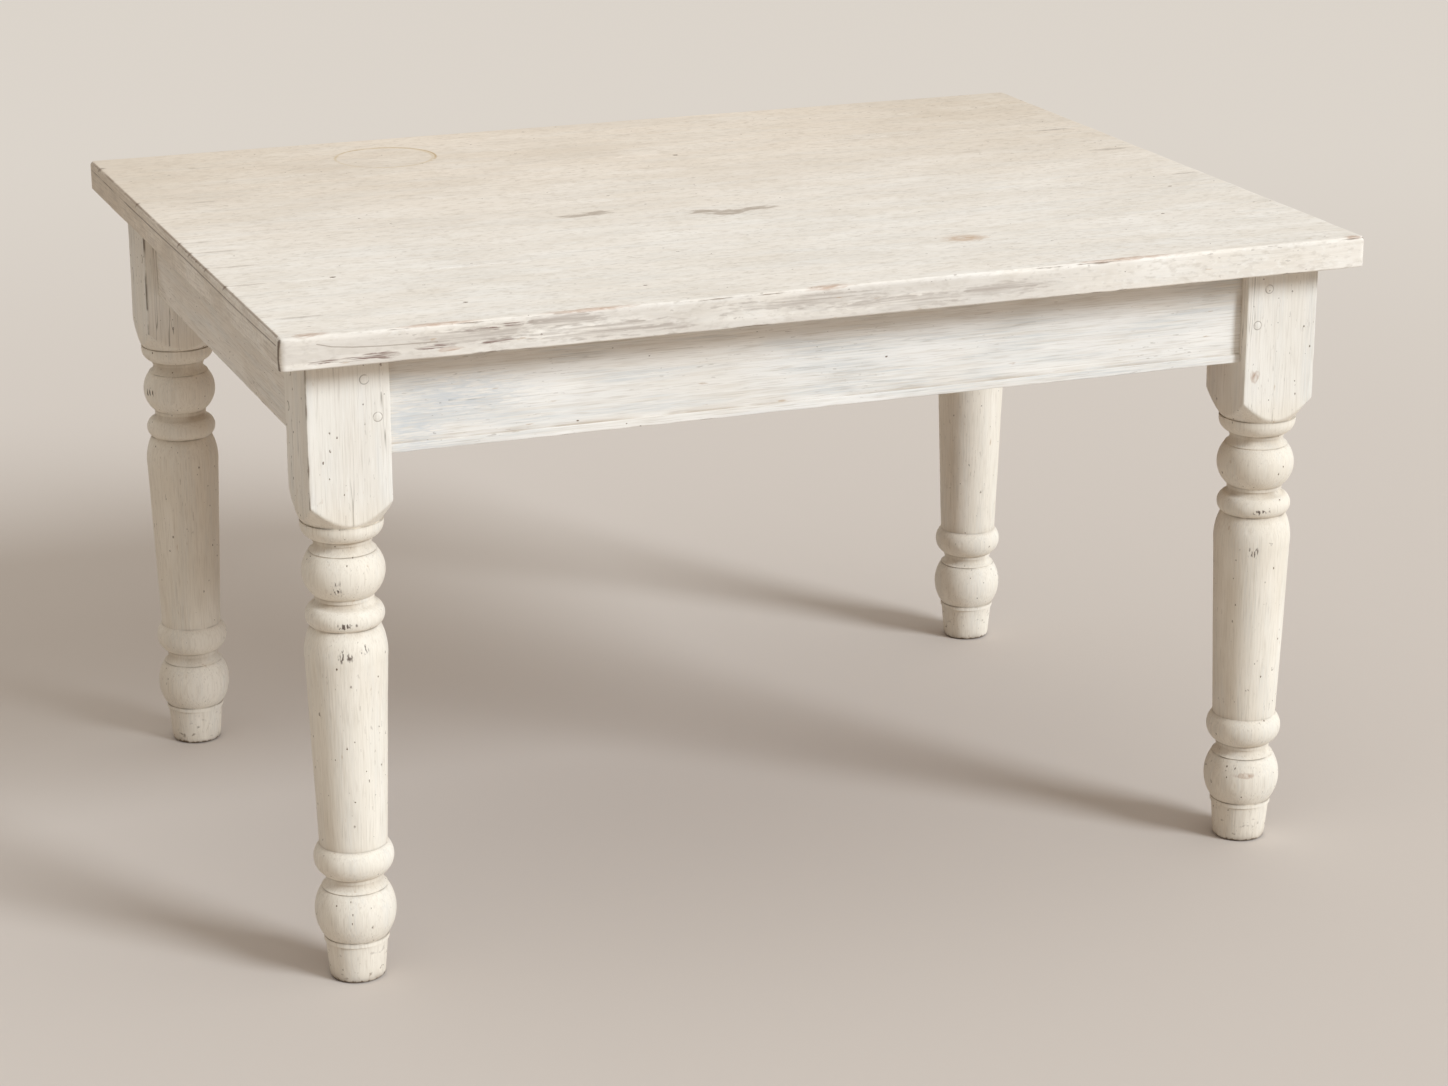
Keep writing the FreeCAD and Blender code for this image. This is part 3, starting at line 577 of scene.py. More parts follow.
def hollow(rim, neck):
    """Arc of a cove from its rim to its neck, where it runs upright: through point and end point."""
    step = rim[0] - neck[0]
    rise = neck[1] - rim[1]
    radius = (step ** 2 + rise ** 2) / (2 * step)
    half = math.atan2(abs(rise), neck[0] + radius - rim[0]) / 2
    drop = math.copysign(radius * math.sin(half), rise)
    return (neck[0] + radius - radius * math.cos(half), neck[1] - drop, *neck)


def shell(xs, ys, zs):
    """Grid over the faces of a box: its points and outward quads, at the given places along each axis."""
    places = [np.array(a, float) for a in (xs, ys, zs)]
    counts = tuple(len(a) for a in places)
    quads = []
    for axis in range(3):
        across, up = (axis + 1) % 3, (axis + 2) % 3
        steps = np.meshgrid(np.arange(counts[across] - 1), np.arange(counts[up] - 1), indexing="ij")
        for end in (0, counts[axis] - 1):
            corners = []
            for right, rise in ((0, 0), (1, 0), (1, 1), (0, 1)):
                index = [None, None, None]
                index[axis] = np.full(steps[0].size, end)
                index[across] = steps[0].ravel() + right
                index[up] = steps[1].ravel() + rise
                corners.append(np.ravel_multi_index(index, counts))
            quad = np.stack(corners, axis=1)
            quads.append(quad if end else quad[:, ::-1])
    used, faces = np.unique(np.concatenate(quads), return_inverse=True)
    spots = np.unravel_index(used, counts)
    points = np.stack([a[i] for a, i in zip(places, spots)], axis=1)
    return points, faces.reshape(-1, 4)


EDGE_STEPS = (0.0, 0.4, 0.9, 1.5, 2.2, 3.0, 3.9, 5.0, 6.4, 8.0)
FACE_STEP = 5.0
THICK_STEP = 4.0
TOUCH = 0.1


def ticks(low, high, step):
    """Places along one side of a board: close together near its ends, where the edge is eased."""
    near = [s for s in EDGE_STEPS if s < (high - low) / 2 - 0.5]
    first = low + near[-1]
    last = high - near[-1]
    count = max(1, round((last - first) / step))
    middle = np.linspace(first, last, count + 1)[1:-1]
    return np.concatenate([[low + s for s in near], middle, [high - s for s in reversed(near)]])


def eased(points, low, high, radius):
    """Points of a box with its edges rounded, by drawing them in towards the box's core."""
    core = np.clip(points, np.add(low, radius), np.subtract(high, radius))
    out = points - core
    reach = np.abs(out).max(axis=1)
    length = np.maximum(np.linalg.norm(out, axis=1), 1e-9)
    return core + out * (reach / length)[:, None]


def edge_wear(points, low, high, fade):
    """1 on the edges of a box, fading away from them over fade mm."""
    sides = np.minimum(points - np.array(low), np.array(high) - points)
    return np.exp(-np.sort(sides, axis=1)[:, 1] / fade)


def put(mesh, title, values):
    """Keeps a number on each point of a mesh."""
    attribute = mesh.attributes.new(title, "FLOAT", "POINT")
    attribute.data.foreach_set("value", np.asarray(values, np.float32))


def coordinates(mesh):
    """A mesh's points, in mm."""
    values = np.zeros(len(mesh.vertices) * 3, np.float32)
    mesh.vertices.foreach_get("co", values)
    return values.reshape(-1, 3).astype(float) / MM


def linked(name, data):
    """New object of that data, in the scene."""
    made = bpy.data.objects.new(name, data)
    bpy.context.scene.collection.objects.link(made)
    return made


def mesh_object(name, points, faces=(), **attributes):
    """Object of points in metres and faces, with a number on each point for each attribute."""
    mesh = bpy.data.meshes.new(name)
    mesh.from_pydata(np.asarray(points, float).tolist(), [], np.asarray(faces).tolist())
    for title, values in attributes.items():
        put(mesh, title, values)
    return linked(name, mesh)


SHARP_ANGLE = 35


def grow(piece, tree, settings):
    """Runs a node tree on an object and keeps what it makes as the object's plain mesh."""
    modifier = piece.modifiers.new(tree.name, "NODES")
    modifier.node_group = tree
    sockets = {item.name: item.identifier for item in tree.interface.items_tree if item.in_out == "INPUT"}
    for title, value in settings.items():
        modifier[sockets[title]] = value
    evaluated = piece.evaluated_get(bpy.context.evaluated_depsgraph_get())
    made = bpy.data.meshes.new_from_object(evaluated)
    piece.modifiers.remove(modifier)
    piece.data = made
    made.shade_smooth()
    made.set_sharp_from_angle(angle=math.radians(SHARP_ANGLE))


def tree_with(name, inputs):
    """New node tree for meshes, with its inputs, named by kind, and one output."""
    tree = bpy.data.node_groups.new(name, "GeometryNodeTree")
    for kind, titles in inputs.items():
        for title in titles:
            tree.interface.new_socket(title, in_out="INPUT", socket_type="NodeSocket" + kind)
    tree.interface.new_socket("Piece", in_out="OUTPUT", socket_type="NodeSocketGeometry")
    add = functools.partial(node, tree)
    return add, add("GroupInput").outputs


def ended(add, geometry, finish):
    """Ends a node tree: one plain mesh, its material and the output."""
    dressed = add("SetMaterial", add("RealizeInstances", geometry), {"Material": finish})
    return add("GroupOutput", dressed).id_data


# Turning: every ring of the outline is drawn round the section, and held to the square blank

def turning_tree():
    add, given = tree_with("turning", {
        "Geometry": ["Start"], "Object": ["Outline", "Section"], "Int": ["Columns", "Rings"],
        "Material": ["Finish"],
    })
    grid = add("MeshGrid", {"Vertices X": given["Columns"], "Vertices Y": given["Rings"]})
    index = add("InputIndex")
    where = add("InputPosition")
    row = add("IntegerMath:MODULO", index, given["Rings"])
    column = add("IntegerMath:DIVIDE_FLOOR", index, given["Rings"])
    points = []
    for title, number in (("Outline", row), ("Section", column)):
        shape = add("ObjectInfo", {"Object": given[title]}).outputs["Geometry"]
        sample = add("SampleIndex", {"Geometry": shape, 1: where, "Index": number}, data_type="FLOAT_VECTOR")
        points.append(add("SeparateXYZ", sample).outputs)
    ring, side = points
    radius = add("Math:MINIMUM", ring["X"], side["Z"])
    x = add("Math:MULTIPLY", side["X"], radius)
    y = add("Math:MULTIPLY", side["Y"], radius)
    drawn = add("SetPosition", grid, {"Position": add("CombineXYZ", x, y, ring["Z"])})
    closed = add("MergeByDistance", drawn, {"Distance": 0.01 * MM})
    return ended(add, closed, given["Finish"])


# Ageing: the surface wanders a little, worn edges have nicks, and dents are scattered over it

def ageing_tree():
    add, given = tree_with("ageing", {
        "Geometry": ["Piece"], "Int": ["Seed"], "Material": ["Finish"],
        "Float": ["Wander", "Wander size", "Nick depth", "Nick size", "Dents per square metre", "Dent reach",
                  "Dent depth"],
    })
    where = add("InputPosition")
    depths = []
    for size, depth, start in (("Wander size", "Wander", 0.35), ("Nick size", "Nick depth", 0.52)):
        cells = add("Math:DIVIDE", 1.0, given[size])
        noise = add("TexNoise", {"Vector": where, "W": given["Seed"], "Scale": cells, "Detail": 2.0},
                    noise_dimensions="4D")
        depths.append(add("MapRange", {"Value": noise, "From Min": start, "From Max": 0.78,
                                       "To Max": given[depth]}))
    worn = add("InputNamedAttribute", {"Name": "wear"}, data_type="FLOAT")
    nicks = add("Math:MULTIPLY", depths[1], worn)
    scatter = add("DistributePointsOnFaces", {
        "Mesh": given["Piece"], "Density": given["Dents per square metre"], "Seed": given["Seed"]})
    near = add("Proximity", scatter, target_element="POINTS").outputs
    dent = add("MapRange", {"Value": near["Distance"], "From Min": given["Dent reach"], "From Max": 0.0,
                            "To Max": given["Dent depth"]}, interpolation_type="SMOOTHERSTEP")
    dents = add("Math:MULTIPLY", dent, near["Is Valid"])
    total = add("Math:ADD", add("Math:ADD", depths[0], nicks), dents)
    inward = add("Math:MULTIPLY", total, -1.0)
    offset = add("VectorMath:SCALE", add("InputNormal"), {"Scale": inward})
    moved = add("SetPosition", given["Piece"], {"Offset": offset})
    return ended(add, moved, given["Finish"])


TURNING = turning_tree()
AGEING = ageing_tree()
WANDER_SIZE = 90.0
NICK_SIZE = 38.0


def weathered(piece, finish, seed, wander, nicks, dents, reach, depth):
    """Gives a piece the small unevenness of long use, always inwards, with sizes in mm."""
    grow(piece, AGEING, {
        "Wander": wander * MM, "Wander size": WANDER_SIZE * MM, "Nick depth": nicks * MM,
        "Nick size": NICK_SIZE * MM, "Dents per square metre": dents, "Dent reach": reach * MM,
        "Dent depth": depth * MM, "Seed": seed, "Finish": finish,
    })


def settle(piece, body, slot, *nodes):
    """A finished piece rides on its body and stands for its CAD nodes."""
    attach(piece, body)
    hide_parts(*nodes)


SIDES = (("left", -1), ("right", 1))


# Legs: turned from a square blank, with the block left square above the turning

LEG_OUTLINE = [
    (0, 0), (27.5, 0), (30.33, 1.17, 31.5, 4), (35, 45), (36.5, 45), (36.5, 50), (35.5, 50),
    (45.5, 83, 37.5, 107.6), (36.2, 108.3), (37.0, 109.2), hollow((37.0, 109.2), (31, 119)),
    (32.5, 119), (32.5, 123), (44.5, 148, 38, 160), (45.4, 375), (43.92, 399, 38, 415),
    (43.5, 427, 37.5, 438), hollow((37.5, 438), (31, 445)), (32.5, 445), (32.5, 449),
    (45.5, 477, 37.5, 498.6), (36.2, 499.3), (37.0, 500.2), hollow((37.0, 500.2), (31, 510)),
    (32.5, 510), (32.5, 514), (42.9, 520.8, 45.5, 531), (45.5, 534), (43.5, 534), (65.05, 562),
    (70, 566), (70, 724), (0, 724),
]
LEG_CREASES = (
    (50.0, 0.7), (108.3, 0.7), (123.0, 0.5), (160.0, 0.5), (415.0, 0.9),
    (449.0, 0.5), (499.3, 0.7), (514.0, 0.5), (534.0, 0.5),
)
CREASE_GAP = 0.6
LEG_RING_STEP = 2.4
LEG_FACE_COLUMNS = 40
CORNER_SHARPNESS = 55
TURNED_TOP = 534.0
FOOT_RADIUS = 31.0
RELIEF_SPAN = 12
RELIEF_FULL = 5.0
CORNER_FADE = 2.2
CREASE_FADE = 0.4
FLOOR_FADE = 5.0
FLOOR_GRIME_FADE = 9.0
OFF_FACE = 0.7


def square_section(half, columns):
    """Directions round a blank and how far out its rounded square reaches in each, closest at the corners."""
    share = np.arange(4 * columns + 1) / columns
    face = np.floor(share)
    across = np.sin((2 * (share - face) - 1) * math.pi / 2)
    angle = face * math.pi / 2 + np.arctan(across)
    both = np.stack([np.cos(angle), np.sin(angle)], axis=1)
    reach = half * (np.abs(both) ** CORNER_SHARPNESS).sum(axis=1) ** (-1 / CORNER_SHARPNESS)
    return np.column_stack([both, reach * MM])


def round_section(columns):
    """Directions round a fully turned piece."""
    angle = np.arange(columns + 1) * 2 * math.pi / columns
    return np.column_stack([np.cos(angle), np.sin(angle), np.ones(columns + 1)])


def closer(outline, levels, gap):
    """Outline with further points beside those at the given heights, gap mm away on both sides."""
    steps = np.linalg.norm(np.diff(outline, axis=0), axis=1)
    along = np.concatenate([[0.0], np.cumsum(steps)])
    at_level = along[np.abs(outline[:, 1:] - np.array(levels)).min(axis=1) < 0.05]
    places = np.unique(np.concatenate([along, at_level - gap, at_level + gap]))
    return np.column_stack([np.interp(places, along, outline[:, k]) for k in (0, 1)])


def turned(name, path, step, section, finish):
    """Turned piece on the Z axis, with its foot at the origin, and the outline it was turned to."""
    outline = closer(outline_points(path, step), [level for level, strength in LEG_CREASES], CREASE_GAP)
    rings = np.column_stack([outline[:, 0], 0 * outline[:, 0], outline[:, 1]]) * MM
    helpers = [mesh_object(name + "_outline", rings), mesh_object(name + "_section", section)]
    piece = mesh_object(name, [(0, 0, 0)])
    grow(piece, TURNING, {
        "Outline": helpers[0], "Section": helpers[1],
        "Columns": len(section), "Rings": len(outline), "Finish": finish,
    })
    for helper in helpers:
        bpy.data.objects.remove(helper)
    return piece, outline


def relief(outline, z, radius):
    """How far a point of a turning stands out, below 0 in a hollow: against the outline's mean over 24 mm."""
    heights = np.arange(0.0, TURNED_TOP - 4, 1.0)
    order = np.argsort(outline[:, 1], kind="stable")
    level = np.interp(heights, outline[order, 1], outline[order, 0])
    level[heights < 3] = FOOT_RADIUS
    count = 2 * RELIEF_SPAN + 1
    mean = np.convolve(np.pad(level, RELIEF_SPAN, mode="edge"), np.ones(count) / count, mode="valid")
    return np.clip((radius - np.interp(z, heights, mean)) / RELIEF_FULL, -1, 1) * (z < TURNED_TOP - 2)


def build_leg(name, side, row, seed):
    """Leg with worn block corners and rings, dirt and painted shade in its hollows and at the floor, and dark
    lines of painted shade at the steps of its turning.
    """
    piece, outline = turned(name + "_turned", LEG_OUTLINE, LEG_RING_STEP,
                            square_section(LEG_HALF, LEG_FACE_COLUMNS), LEG_FINISH)
    x, y, z = coordinates(piece.data).T
    height = relief(outline, z, np.hypot(x, y))
    lesser, greater = np.sort(np.abs([x, y]), axis=0)
    corner = np.where(z > TURNED_TOP + 6, np.exp((lesser - LEG_HALF) / CORNER_FADE), 0.0)
    at_floor = np.exp(-z / FLOOR_FADE)
    creases = [strength * np.exp(-np.abs(z - level) / CREASE_FADE) for level, strength in LEG_CREASES]
    put(piece.data, "wear", np.max([corner, 0.75 * at_floor, 0.6 * height], axis=0))
    # Dirt and painted shade in the hollows of the turning, and dirt near the floor
    put(piece.data, "grime", np.maximum(-height, 0.8 * np.exp(-z / FLOOR_GRIME_FADE)))
    put(piece.data, "turned", (z < TURNED_TOP) | (greater < LEG_HALF - OFF_FACE))
    # Painted shade: dark lines at the steps of the turning and round the foot's edge at the floor
    put(piece.data, "crease_shade", np.max([*creases, at_floor], axis=0))
    piece.data.transform(Matrix.Translation((side * LEG_X * MM, row * LEG_Y * MM, 0)))
    weathered(piece, LEG_FINISH, seed, wander=0.6, nicks=1.0, dents=140, reach=4.0, depth=0.45)
    settle(piece, "frame", "painted_pine", name)


for number, (row_name, row) in enumerate((("front", -1), ("back", 1))):
    for other, (side_name, side) in enumerate(SIDES):
        build_leg("leg_" + row_name + "_" + side_name, side, row, 11 + 2 * number + other)


# Top: four boards whose outer edges share one rounded rim

TOP_CORNER = 8.0
UPPER_ROUND = 5.0
LOWER_ROUND = 2.0
MOST_ROUND = 7.8
ARRIS_CHIPS = ((-640, -16), (-640, -70), (-640, -149), (-640, -238), (-640, 210), (-586, -485), (250, 485))
CHIP_DEPTH = 1.6
CHIP_SPREAD = 24.0
RIM_FADE = 3.2
PAINTED_UNDER = 26.0
JOINT_EASE = 0.35
PAST_END = 9.0


def rimmed(points):
    """Rounds the outer rim of the top: corners in plan, then the upper and lower arrises."""
    inner = np.array([HALF_LENGTH - TOP_CORNER, HALF_WIDTH - TOP_CORNER])
    plan = points[:, :2]
    core = np.clip(plan, -inner, inner)
    out = plan - core
    length = np.linalg.norm(out, axis=1)
    reach = np.abs(out).max(axis=1)
    out = out * (reach / np.maximum(length, 1e-9))[:, None]
    heading = out / np.maximum(reach, 1e-9)[:, None]
    inset = TOP_CORNER - reach
    z = points[:, 2].copy()
    chips = np.zeros(len(points))
    for x, y in ARRIS_CHIPS:
        chips += CHIP_DEPTH * np.exp(-((plan[:, 0] - x) ** 2 + (plan[:, 1] - y) ** 2) / CHIP_SPREAD)
    upper = np.minimum(UPPER_ROUND + chips, MOST_ROUND)
    for radius, level, way in ((upper, TOP_HIGH, 1), (LOWER_ROUND, TOP_LOW, -1)):
        over = np.maximum(radius - inset, 0)
        rise = np.maximum(way * (z - level) + radius, 0)
        both = (over > 0) & (rise > 0)
        share = np.where(both, np.maximum(over, rise) / np.maximum(np.hypot(over, rise), 1e-9), 1.0)
        inset = np.where(both, radius - over * share, inset)
        z = np.where(both, level + way * (rise * share - radius), z)
    plan = core + heading * np.minimum(TOP_CORNER - inset, reach)[:, None]
    return np.column_stack([plan, z])


def build_top():
    """Boards with a worn rim, painted underneath only near the edge of the top."""
    limits = (-HALF_WIDTH, *BOARD_JOINTS, HALF_WIDTH)
    names = ("front", "front_middle", "back_middle", "back")
    low = np.array([-HALF_LENGTH, -HALF_WIDTH, TOP_LOW])
    high = np.array([HALF_LENGTH, HALF_WIDTH, TOP_HIGH])
    for number, (name, near, far) in enumerate(zip(names, limits, limits[1:])):
        points, faces = shell(ticks(-HALF_LENGTH, HALF_LENGTH, FACE_STEP), ticks(near, far, FACE_STEP),
                              ticks(TOP_LOW, TOP_HIGH, THICK_STEP))
        wear = edge_wear(points, low, high, RIM_FADE)
        sides = np.minimum(points - low, high - points)
        under = (points[:, 2] < TOP_LOW + TOUCH) & (sides[:, :2].min(axis=1) > PAINTED_UNDER)
        # The ends are rounded by the rim alone, so the box for easing reaches past them
        points = eased(points, (-HALF_LENGTH - PAST_END, near, TOP_LOW),
                       (HALF_LENGTH + PAST_END, far, TOP_HIGH), JOINT_EASE)
        piece = mesh_object("top_" + name + "_planed", rimmed(points) * MM, faces, wear=wear, bare=under)
        weathered(piece, TOP_FINISH, 31 + number, wander=0.5, nicks=0.9, dents=60, reach=5.5, depth=0.3)
        settle(piece, "frame", "painted_pine", "top_board_" + name)


build_top()


# Aprons and rails

BOARD_EASE = 1.2
BOARD_FADE = 2.6
FRONT_EASE = 0.6
INTO_LEG = 3.0
BEAD_STEPS = (-0.25, 0.0, 0.15, 0.4, 0.8, 1.5, 3.0)
BEAD_GRIME_AND_SHADE_FADE = 1.6
LEG_GRIME_AND_SHADE_FADE = 3.0


def planed(node_name, points, faces, finish, seed, **attributes):
    """Board of that shape, weathered, in place of its CAD node."""
    piece = mesh_object(node_name + "_planed", points * MM, faces, **attributes)
    weathered(piece, finish, seed, wander=0.4, nicks=0.9, dents=90, reach=4.5, depth=0.35)
    settle(piece, "frame", "painted_pine", node_name)


def build_board(node_name, low, high, finish, seed, axis, way):
    """Board with eased, worn edges; axis and way tell which face was never painted."""
    points, faces = shell(*[ticks(a, b, FACE_STEP) for a, b in zip(low, high)])
    inside = high[axis] if way > 0 else low[axis]
    bare = np.abs(points[:, axis] - inside) < TOUCH
    wear = edge_wear(points, low, high, BOARD_FADE)
    planed(node_name, eased(points, low, high, BOARD_EASE), faces, finish, seed, wear=wear, bare=bare)


def build_front_apron():
    """Front apron with the thin proud bead along its lower edge."""
    low = (-LEG_INNER_X - INTO_LEG, -LONG_FACE, APRON_LOW)
    high = (LEG_INNER_X + INTO_LEG, -LONG_FACE + APRON_THICK, APRON_HIGH)
    bead = BEAD_TOP - np.array(BEAD_STEPS)
    heights = np.unique(np.concatenate([ticks(APRON_LOW, APRON_HIGH, THICK_STEP), bead]))
    points, faces = shell(ticks(low[0], high[0], FACE_STEP), ticks(low[1], high[1], THICK_STEP), heights)
    x, y, z = points.T.copy()
    seen = y < -LONG_FACE + TOUCH
    # Dirt and painted shade above the bead and where the apron meets the legs
    over_bead = seen * np.exp(-np.maximum(z - BEAD_TOP, 0) / BEAD_GRIME_AND_SHADE_FADE) * (z > BEAD_TOP - 0.5)
    at_legs = 0.8 * seen * np.exp(-np.maximum(LEG_INNER_X - np.abs(x), 0) / LEG_GRIME_AND_SHADE_FADE)
    fall = np.clip((z - (BEAD_TOP - BEAD_ROUND)) / BEAD_ROUND, 0, 1)
    lip = np.clip((z - APRON_LOW) / BEAD_ROUND, 0, 1)
    proud = np.where(z < BEAD_TOP, np.sqrt(1 - fall ** 2), 0.0) * np.sqrt(1 - (1 - lip) ** 2)
    wear = edge_wear(points, low, high, BOARD_FADE)
    points = eased(points, low, high, FRONT_EASE)
    points[:, 1] -= seen * BEAD_PROUD * proud
    planed("front_apron", points, faces, LONG_FINISH, 41, wear=wear, grime=np.maximum(over_bead, at_legs),
           bare=y > -LONG_FACE + APRON_THICK - TOUCH)


build_front_apron()
for number, (side_name, side) in enumerate(SIDES):
    near, far = sorted((side * END_FACE, side * (END_FACE - APRON_THICK)))
    build_board(side_name + "_end_apron", (near, -LEG_INNER_Y - INTO_LEG, APRON_LOW),
                (far, LEG_INNER_Y + INTO_LEG, APRON_HIGH), END_FINISH, 43 + number, 0, -side)
build_board("back_top_rail", (-LEG_INNER_X - INTO_LEG, LEG_INNER_Y, TOP_RAIL_LOW),
            (LEG_INNER_X + INTO_LEG, LONG_FACE, APRON_HIGH), LONG_FINISH, 45, 1, -1)
build_board("back_drawer_rail", (-LEG_INNER_X - INTO_LEG, LEG_INNER_Y, APRON_LOW),
            (LEG_INNER_X + INTO_LEG, LONG_FACE, DRAWER_RAIL_TOP), LONG_FINISH, 46, 1, -1)
build_board("back_muntin", (-MUNTIN_HALF, LEG_INNER_Y, DRAWER_RAIL_TOP - 1),
            (MUNTIN_HALF, LONG_FACE, TOP_RAIL_LOW + 1), LEG_FINISH, 47, 1, -1)


# Drawer knobs: turned, with the foot against the drawer front

KNOB_OUTLINE = [
    (0, -20), (7, -20), (7, 0), (11, 0), (11, 3.4), (10.8, 3.83, 10.4, 4), hollow((10.4, 4), (8, 14)),
    (18, 24, 8, 34), (0, 34),
]
KNOB_RING_STEP = 1.1
KNOB_COLUMNS = 64
KNOB_FOOT = 4.0
KNOB_WIDEST = 25.0

for number, (side_name, side) in enumerate(SIDES):
    name = side_name + "_drawer_knob"
    knob = turned(name + "_turned", KNOB_OUTLINE, KNOB_RING_STEP, round_section(KNOB_COLUMNS), LEG_FINISH)[0]
    z = coordinates(knob.data)[:, 2]
    put(knob.data, "turned", np.ones(len(z)))
    # Dirt and painted shade in the hollow above the knob's foot
    put(knob.data, "grime", np.exp(-np.abs(z - KNOB_FOOT) / 3.0))
    put(knob.data, "wear", 0.55 * np.exp(-np.abs(z - KNOB_WIDEST) / 6.0))
    knob.data.transform(Matrix.Rotation(-math.pi / 2, 4, "X"))
    knob.data.transform(Matrix.Translation((side * KNOB_X * MM, LONG_FACE * MM, KNOB_Z * MM)))
    weathered(knob, LEG_FINISH, 51 + number, wander=0.2, nicks=0.3, dents=900, reach=2.5, depth=0.25)
    settle(knob, side_name + "_drawer", "painted_pine", name)


# Fixings: pegs, screws and nails stand where the CAD solids stand

def solids_of(node_name):
    """Lowest and highest corner, in metres, of each separate solid in a CAD node."""
    work = bmesh.new()
    work.from_mesh(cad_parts[node_name].data)
    bmesh.ops.remove_doubles(work, verts=work.verts, dist=0.001 * MM)
    left = set(work.verts)
    boxes = []
    while left:
        group = [left.pop()]
        for vertex in group:
            for edge in vertex.link_edges:
                other = edge.other_vert(vertex)
                if other in left:
                    left.remove(other)
                    group.append(other)
        places = np.array([v.co for v in group])
        boxes.append((places.min(axis=0), places.max(axis=0)))
    work.free()
    return sorted(boxes, key=lambda b: tuple(np.round(b[0], 5)))


def fixing_tree():
    """Crowned head, with a slot where it has a width, on a shank, put at each place and turned at random."""
    add, given = tree_with("fixings", {
        "Geometry": ["Places"], "Int": ["Seed"], "Material": ["Finish"],
        "Float": ["Face radius", "Neck radius", "Head depth", "Crown", "Shank radius", "Shank length",
                  "Slot width", "Slot depth"],
    })
    head = add("MeshCone", {
        "Vertices": 28, "Side Segments": 2, "Fill Segments": 4, "Radius Top": given["Face radius"],
        "Radius Bottom": given["Neck radius"], "Depth": given["Head depth"]})
    part = add("SeparateXYZ", add("InputPosition")).outputs
    far = add("VectorMath:LENGTH", add("CombineXYZ", part["X"], part["Y"]))
    share = add("Math:DIVIDE", far, given["Face radius"])
    square = add("Math:POWER", share, 2.0)
    dome = add("MapRange", {"Value": square, "From Min": 1.0, "From Max": 0.0, "To Max": given["Crown"]})
    face = add("Compare:EQUAL", part["Z"], given["Head depth"], {"Epsilon": 0.01 * MM}, data_type="FLOAT")
    raised = add("CombineXYZ", {"Z": dome})
    crowned = add("SetPosition", head, {"Selection": face, "Offset": raised})
    drop = add("Math:MULTIPLY", given["Head depth"], -1.0)
    seated = add("Transform", crowned, {"Translation": add("CombineXYZ", {"Z": drop})})
    wide = add("Math:MULTIPLY", given["Face radius"], 3.0)
    deep = add("Math:MULTIPLY", given["Slot depth"], 2.0)
    saw = add("MeshCube", {"Size": add("CombineXYZ", wide, given["Slot width"], deep)})
    sawn = add("MeshBoolean:DIFFERENCE", {"Mesh 1": seated, "Mesh 2": saw})
    slotted = add("Compare:GREATER_THAN", given["Slot width"], 0.0, data_type="FLOAT")
    chosen = add("Switch", {"Switch": slotted, "False": seated, "True": sawn}, input_type="GEOMETRY")
    shank = add("MeshCylinder", {"Vertices": 16, "Radius": given["Shank radius"],
                                 "Depth": given["Shank length"]})
    half = add("Math:MULTIPLY", given["Shank length"], -0.5)
    lower = add("Math:SUBTRACT", half, given["Head depth"])
    driven = add("Transform", shank, {"Translation": add("CombineXYZ", {"Z": lower})})
    joined = add("JoinGeometry", chosen)
    feed(joined.id_data, joined, {0: driven})
    heading = add("InputNamedAttribute", {"Name": "heading"}, data_type="FLOAT_VECTOR")
    faced = add("AlignRotationToVector", {"Vector": heading}, axis="Z")
    chance = add("RandomValue", {2: 0.0, 3: 2 * math.pi, "Seed": given["Seed"]})
    twist = add("AxisAngleToRotation", {"Axis": (0, 0, 1), "Angle": chance})
    spun = add("RotateRotation", faced, twist, rotation_space="LOCAL")
    placed = add("InstanceOnPoints", {"Points": given["Places"], "Instance": joined, "Rotation": spun})
    return ended(add, placed, given["Finish"])


FIXINGS = fixing_tree()


def heads(node_name):
    """Head of each fixing in a CAD node, and the way that it faces: down if upright, or else outwards."""
    places = []
    for low, high in solids_of(node_name):
        axis = int(np.argmax(high - low))
        way = 1 if axis < 2 and low[axis] + high[axis] > 0 else -1
        head = (low + high) / 2
        head[axis] = high[axis] if way > 0 else low[axis]
        heading = np.zeros(3)
        heading[axis] = way
        places.append((head, heading))
    return zip(*places)


def build_fixings(node_name, body, slot, finish, seed, **sizes):
    """One piece of all the fixings of a kind, with sizes in mm."""
    spots, ways = heads(node_name)
    piece = mesh_object(node_name + "_driven", spots)
    headings = piece.data.attributes.new("heading", "FLOAT_VECTOR", "POINT")
    headings.data.foreach_set("vector", np.array(ways, np.float32).ravel())
    settings = {title.replace("_", " ").capitalize(): value * MM for title, value in sizes.items()}
    grow(piece, FIXINGS, {**settings, "Seed": seed, "Finish": finish})
    settle(piece, body, slot, node_name)


build_fixings("joint_pegs", "frame", "painted_pine", LEG_FINISH, 61, face_radius=4.9, neck_radius=4.9,
              head_depth=6, crown=0.7, shank_radius=4.9, shank_length=30)
build_fixings("top_screws", "frame", "steel", STEEL, 62, face_radius=4, neck_radius=2, head_depth=3,
              crown=0.1, shank_radius=2, shank_length=37, slot_width=1.1, slot_depth=1.2)
for side_name, side in SIDES:
    build_fixings(side_name + "_drawer_nails", side_name + "_drawer", "steel", STEEL, 63, face_radius=2,
                  neck_radius=2, head_depth=0.8, crown=0.15, shank_radius=0.9, shank_length=19.2)


# CAD solids that stay as they are, with their own finish

def dress(node_name, finish):
    """Gives a CAD solid its finish."""
    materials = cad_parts[node_name].data.materials
    materials.clear()
    materials.append(finish)


for part in ("runner", "guide", "kicker"):
    for side_name in ("left", "centre", "right"):
        dress(side_name + "_" + part, PINE_Y)
for node_name in ("drawer_stops", "table_buttons", "top_tongues"):
    dress(node_name, PINE_X)
for side_name, side in SIDES:
    for part, finish in (("front", DRAWER_FINISH), ("left_side", PINE_Y), ("right_side", PINE_Y),
                         ("back", PINE_X), ("bottom", PINE_X)):
        dress(side_name + "_drawer_" + part, finish)


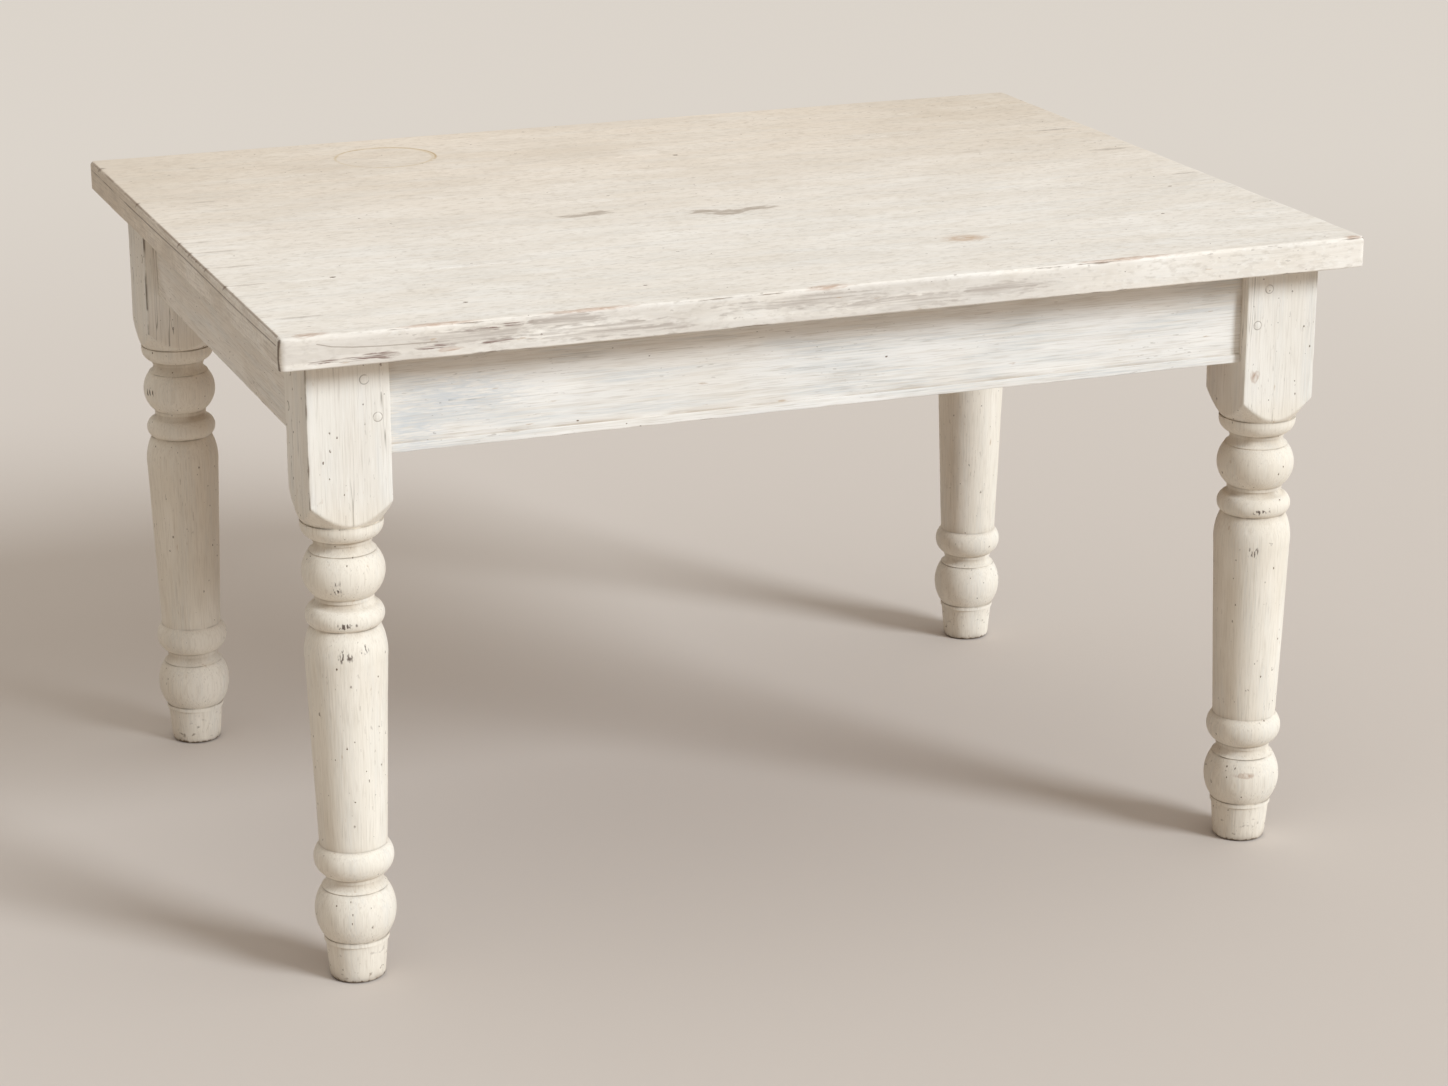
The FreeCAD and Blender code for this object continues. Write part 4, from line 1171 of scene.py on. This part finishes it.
# Floor, light and camera

FLOOR_REACH = 60.0


def stage_floor():
    """Plain pale floor, with painted shade that makes it a little darker under the table than far away."""
    corners = [(x * FLOOR_REACH, y * FLOOR_REACH, 0) for x, y in ((-1, -1), (1, -1), (1, 1), (-1, 1))]
    floor = mesh_object("floor", corners, [(0, 1, 2, 3)])
    finish, face = new_finish("pale_floor")
    # Painted shade: the floor is darker near the table and paler far from it
    pale = face.cut_in(face.add("VectorMath:LENGTH", face.place), 0.8, 4.5)
    shade = face.coats("CEC4BA", [(pale, "DAD2C8")])
    face.show({"Base Color": shade, "Roughness": 0.85, "Specular IOR Level": 0.2})
    floor.data.materials.append(finish)


KEY_FROM = (0.52, -0.693, 0.5)
KEY_SIDE = (0.6, -0.8, 0.0)
KEY_COLOUR = (0.83, 0.91, 1.0)
KEY_STRENGTH = 2.85
KEY_ANGLE = 19
LIGHT_LOW = (0.150, 0.128, 0.106, 1.0)
LIGHT_ABOVE = (0.87, 0.835, 0.795, 1.0)
FAR_SIDE = 0.8
NEAR_SIDE = 1.2


def stage_light():
    """Soft key from the front right, and light from all round, warmer low down and brighter from above."""
    lamp = bpy.data.lights.new("key", "SUN")
    lamp.energy = KEY_STRENGTH
    lamp.color = KEY_COLOUR
    lamp.angle = math.radians(KEY_ANGLE)
    key = linked("key", lamp)
    key.rotation_mode = "QUATERNION"
    key.rotation_quaternion = Vector(KEY_FROM).to_track_quat("Z", "Y")
    world = bpy.data.worlds.new("studio")
    bpy.context.scene.world = world
    world.use_nodes = True
    sky = Surface(world.node_tree)
    way = sky.coordinates["Generated"]
    above = sky.cut_in(sky.add("SeparateXYZ", way).outputs["Z"], 0.0, 1.0)
    tint = sky.coats(LIGHT_LOW, [(above, LIGHT_ABOVE)])
    facing = sky.add("VectorMath:DOT_PRODUCT", way, KEY_SIDE)
    side = sky.add("MapRange", {"Value": facing, "From Min": -1.0, "To Min": FAR_SIDE, "To Max": NEAR_SIDE})
    even = sky.add("Background", {"Color": tint, "Strength": side})
    backdrop = sky.add("Background", {"Color": colour("D8D0C6"), "Strength": 1.0})
    seen = sky.add("LightPath").outputs["Is Camera Ray"]
    mixed = sky.add("MixShader", seen, even, backdrop)
    feed(sky.tree, sky.tree.nodes["World Output"], {"Surface": mixed})


CAMERA_PLACE = (-1.46769, -3.89539, 1.66313)
CAMERA_YAW = 0.368204557
CAMERA_PITCH = -0.312134449
CAMERA_ROLL = -0.00211498897
CAMERA_LENS = 87.224


def stage_camera():
    """Camera where the photograph was taken from."""
    camera = bpy.data.cameras.new("camera")
    camera.sensor_fit = "HORIZONTAL"
    camera.sensor_width = 36.0
    camera.lens = CAMERA_LENS
    holder = linked("camera", camera)
    turn = (Matrix.Rotation(-CAMERA_YAW, 4, "Z") @ Matrix.Rotation(math.pi / 2 + CAMERA_PITCH, 4, "X")
            @ Matrix.Rotation(CAMERA_ROLL, 4, "Z"))
    holder.matrix_world = Matrix.Translation(CAMERA_PLACE) @ turn
    bpy.context.scene.camera = holder


stage_floor()
stage_light()
stage_camera()
bpy.context.scene.view_settings.view_transform = "Standard"
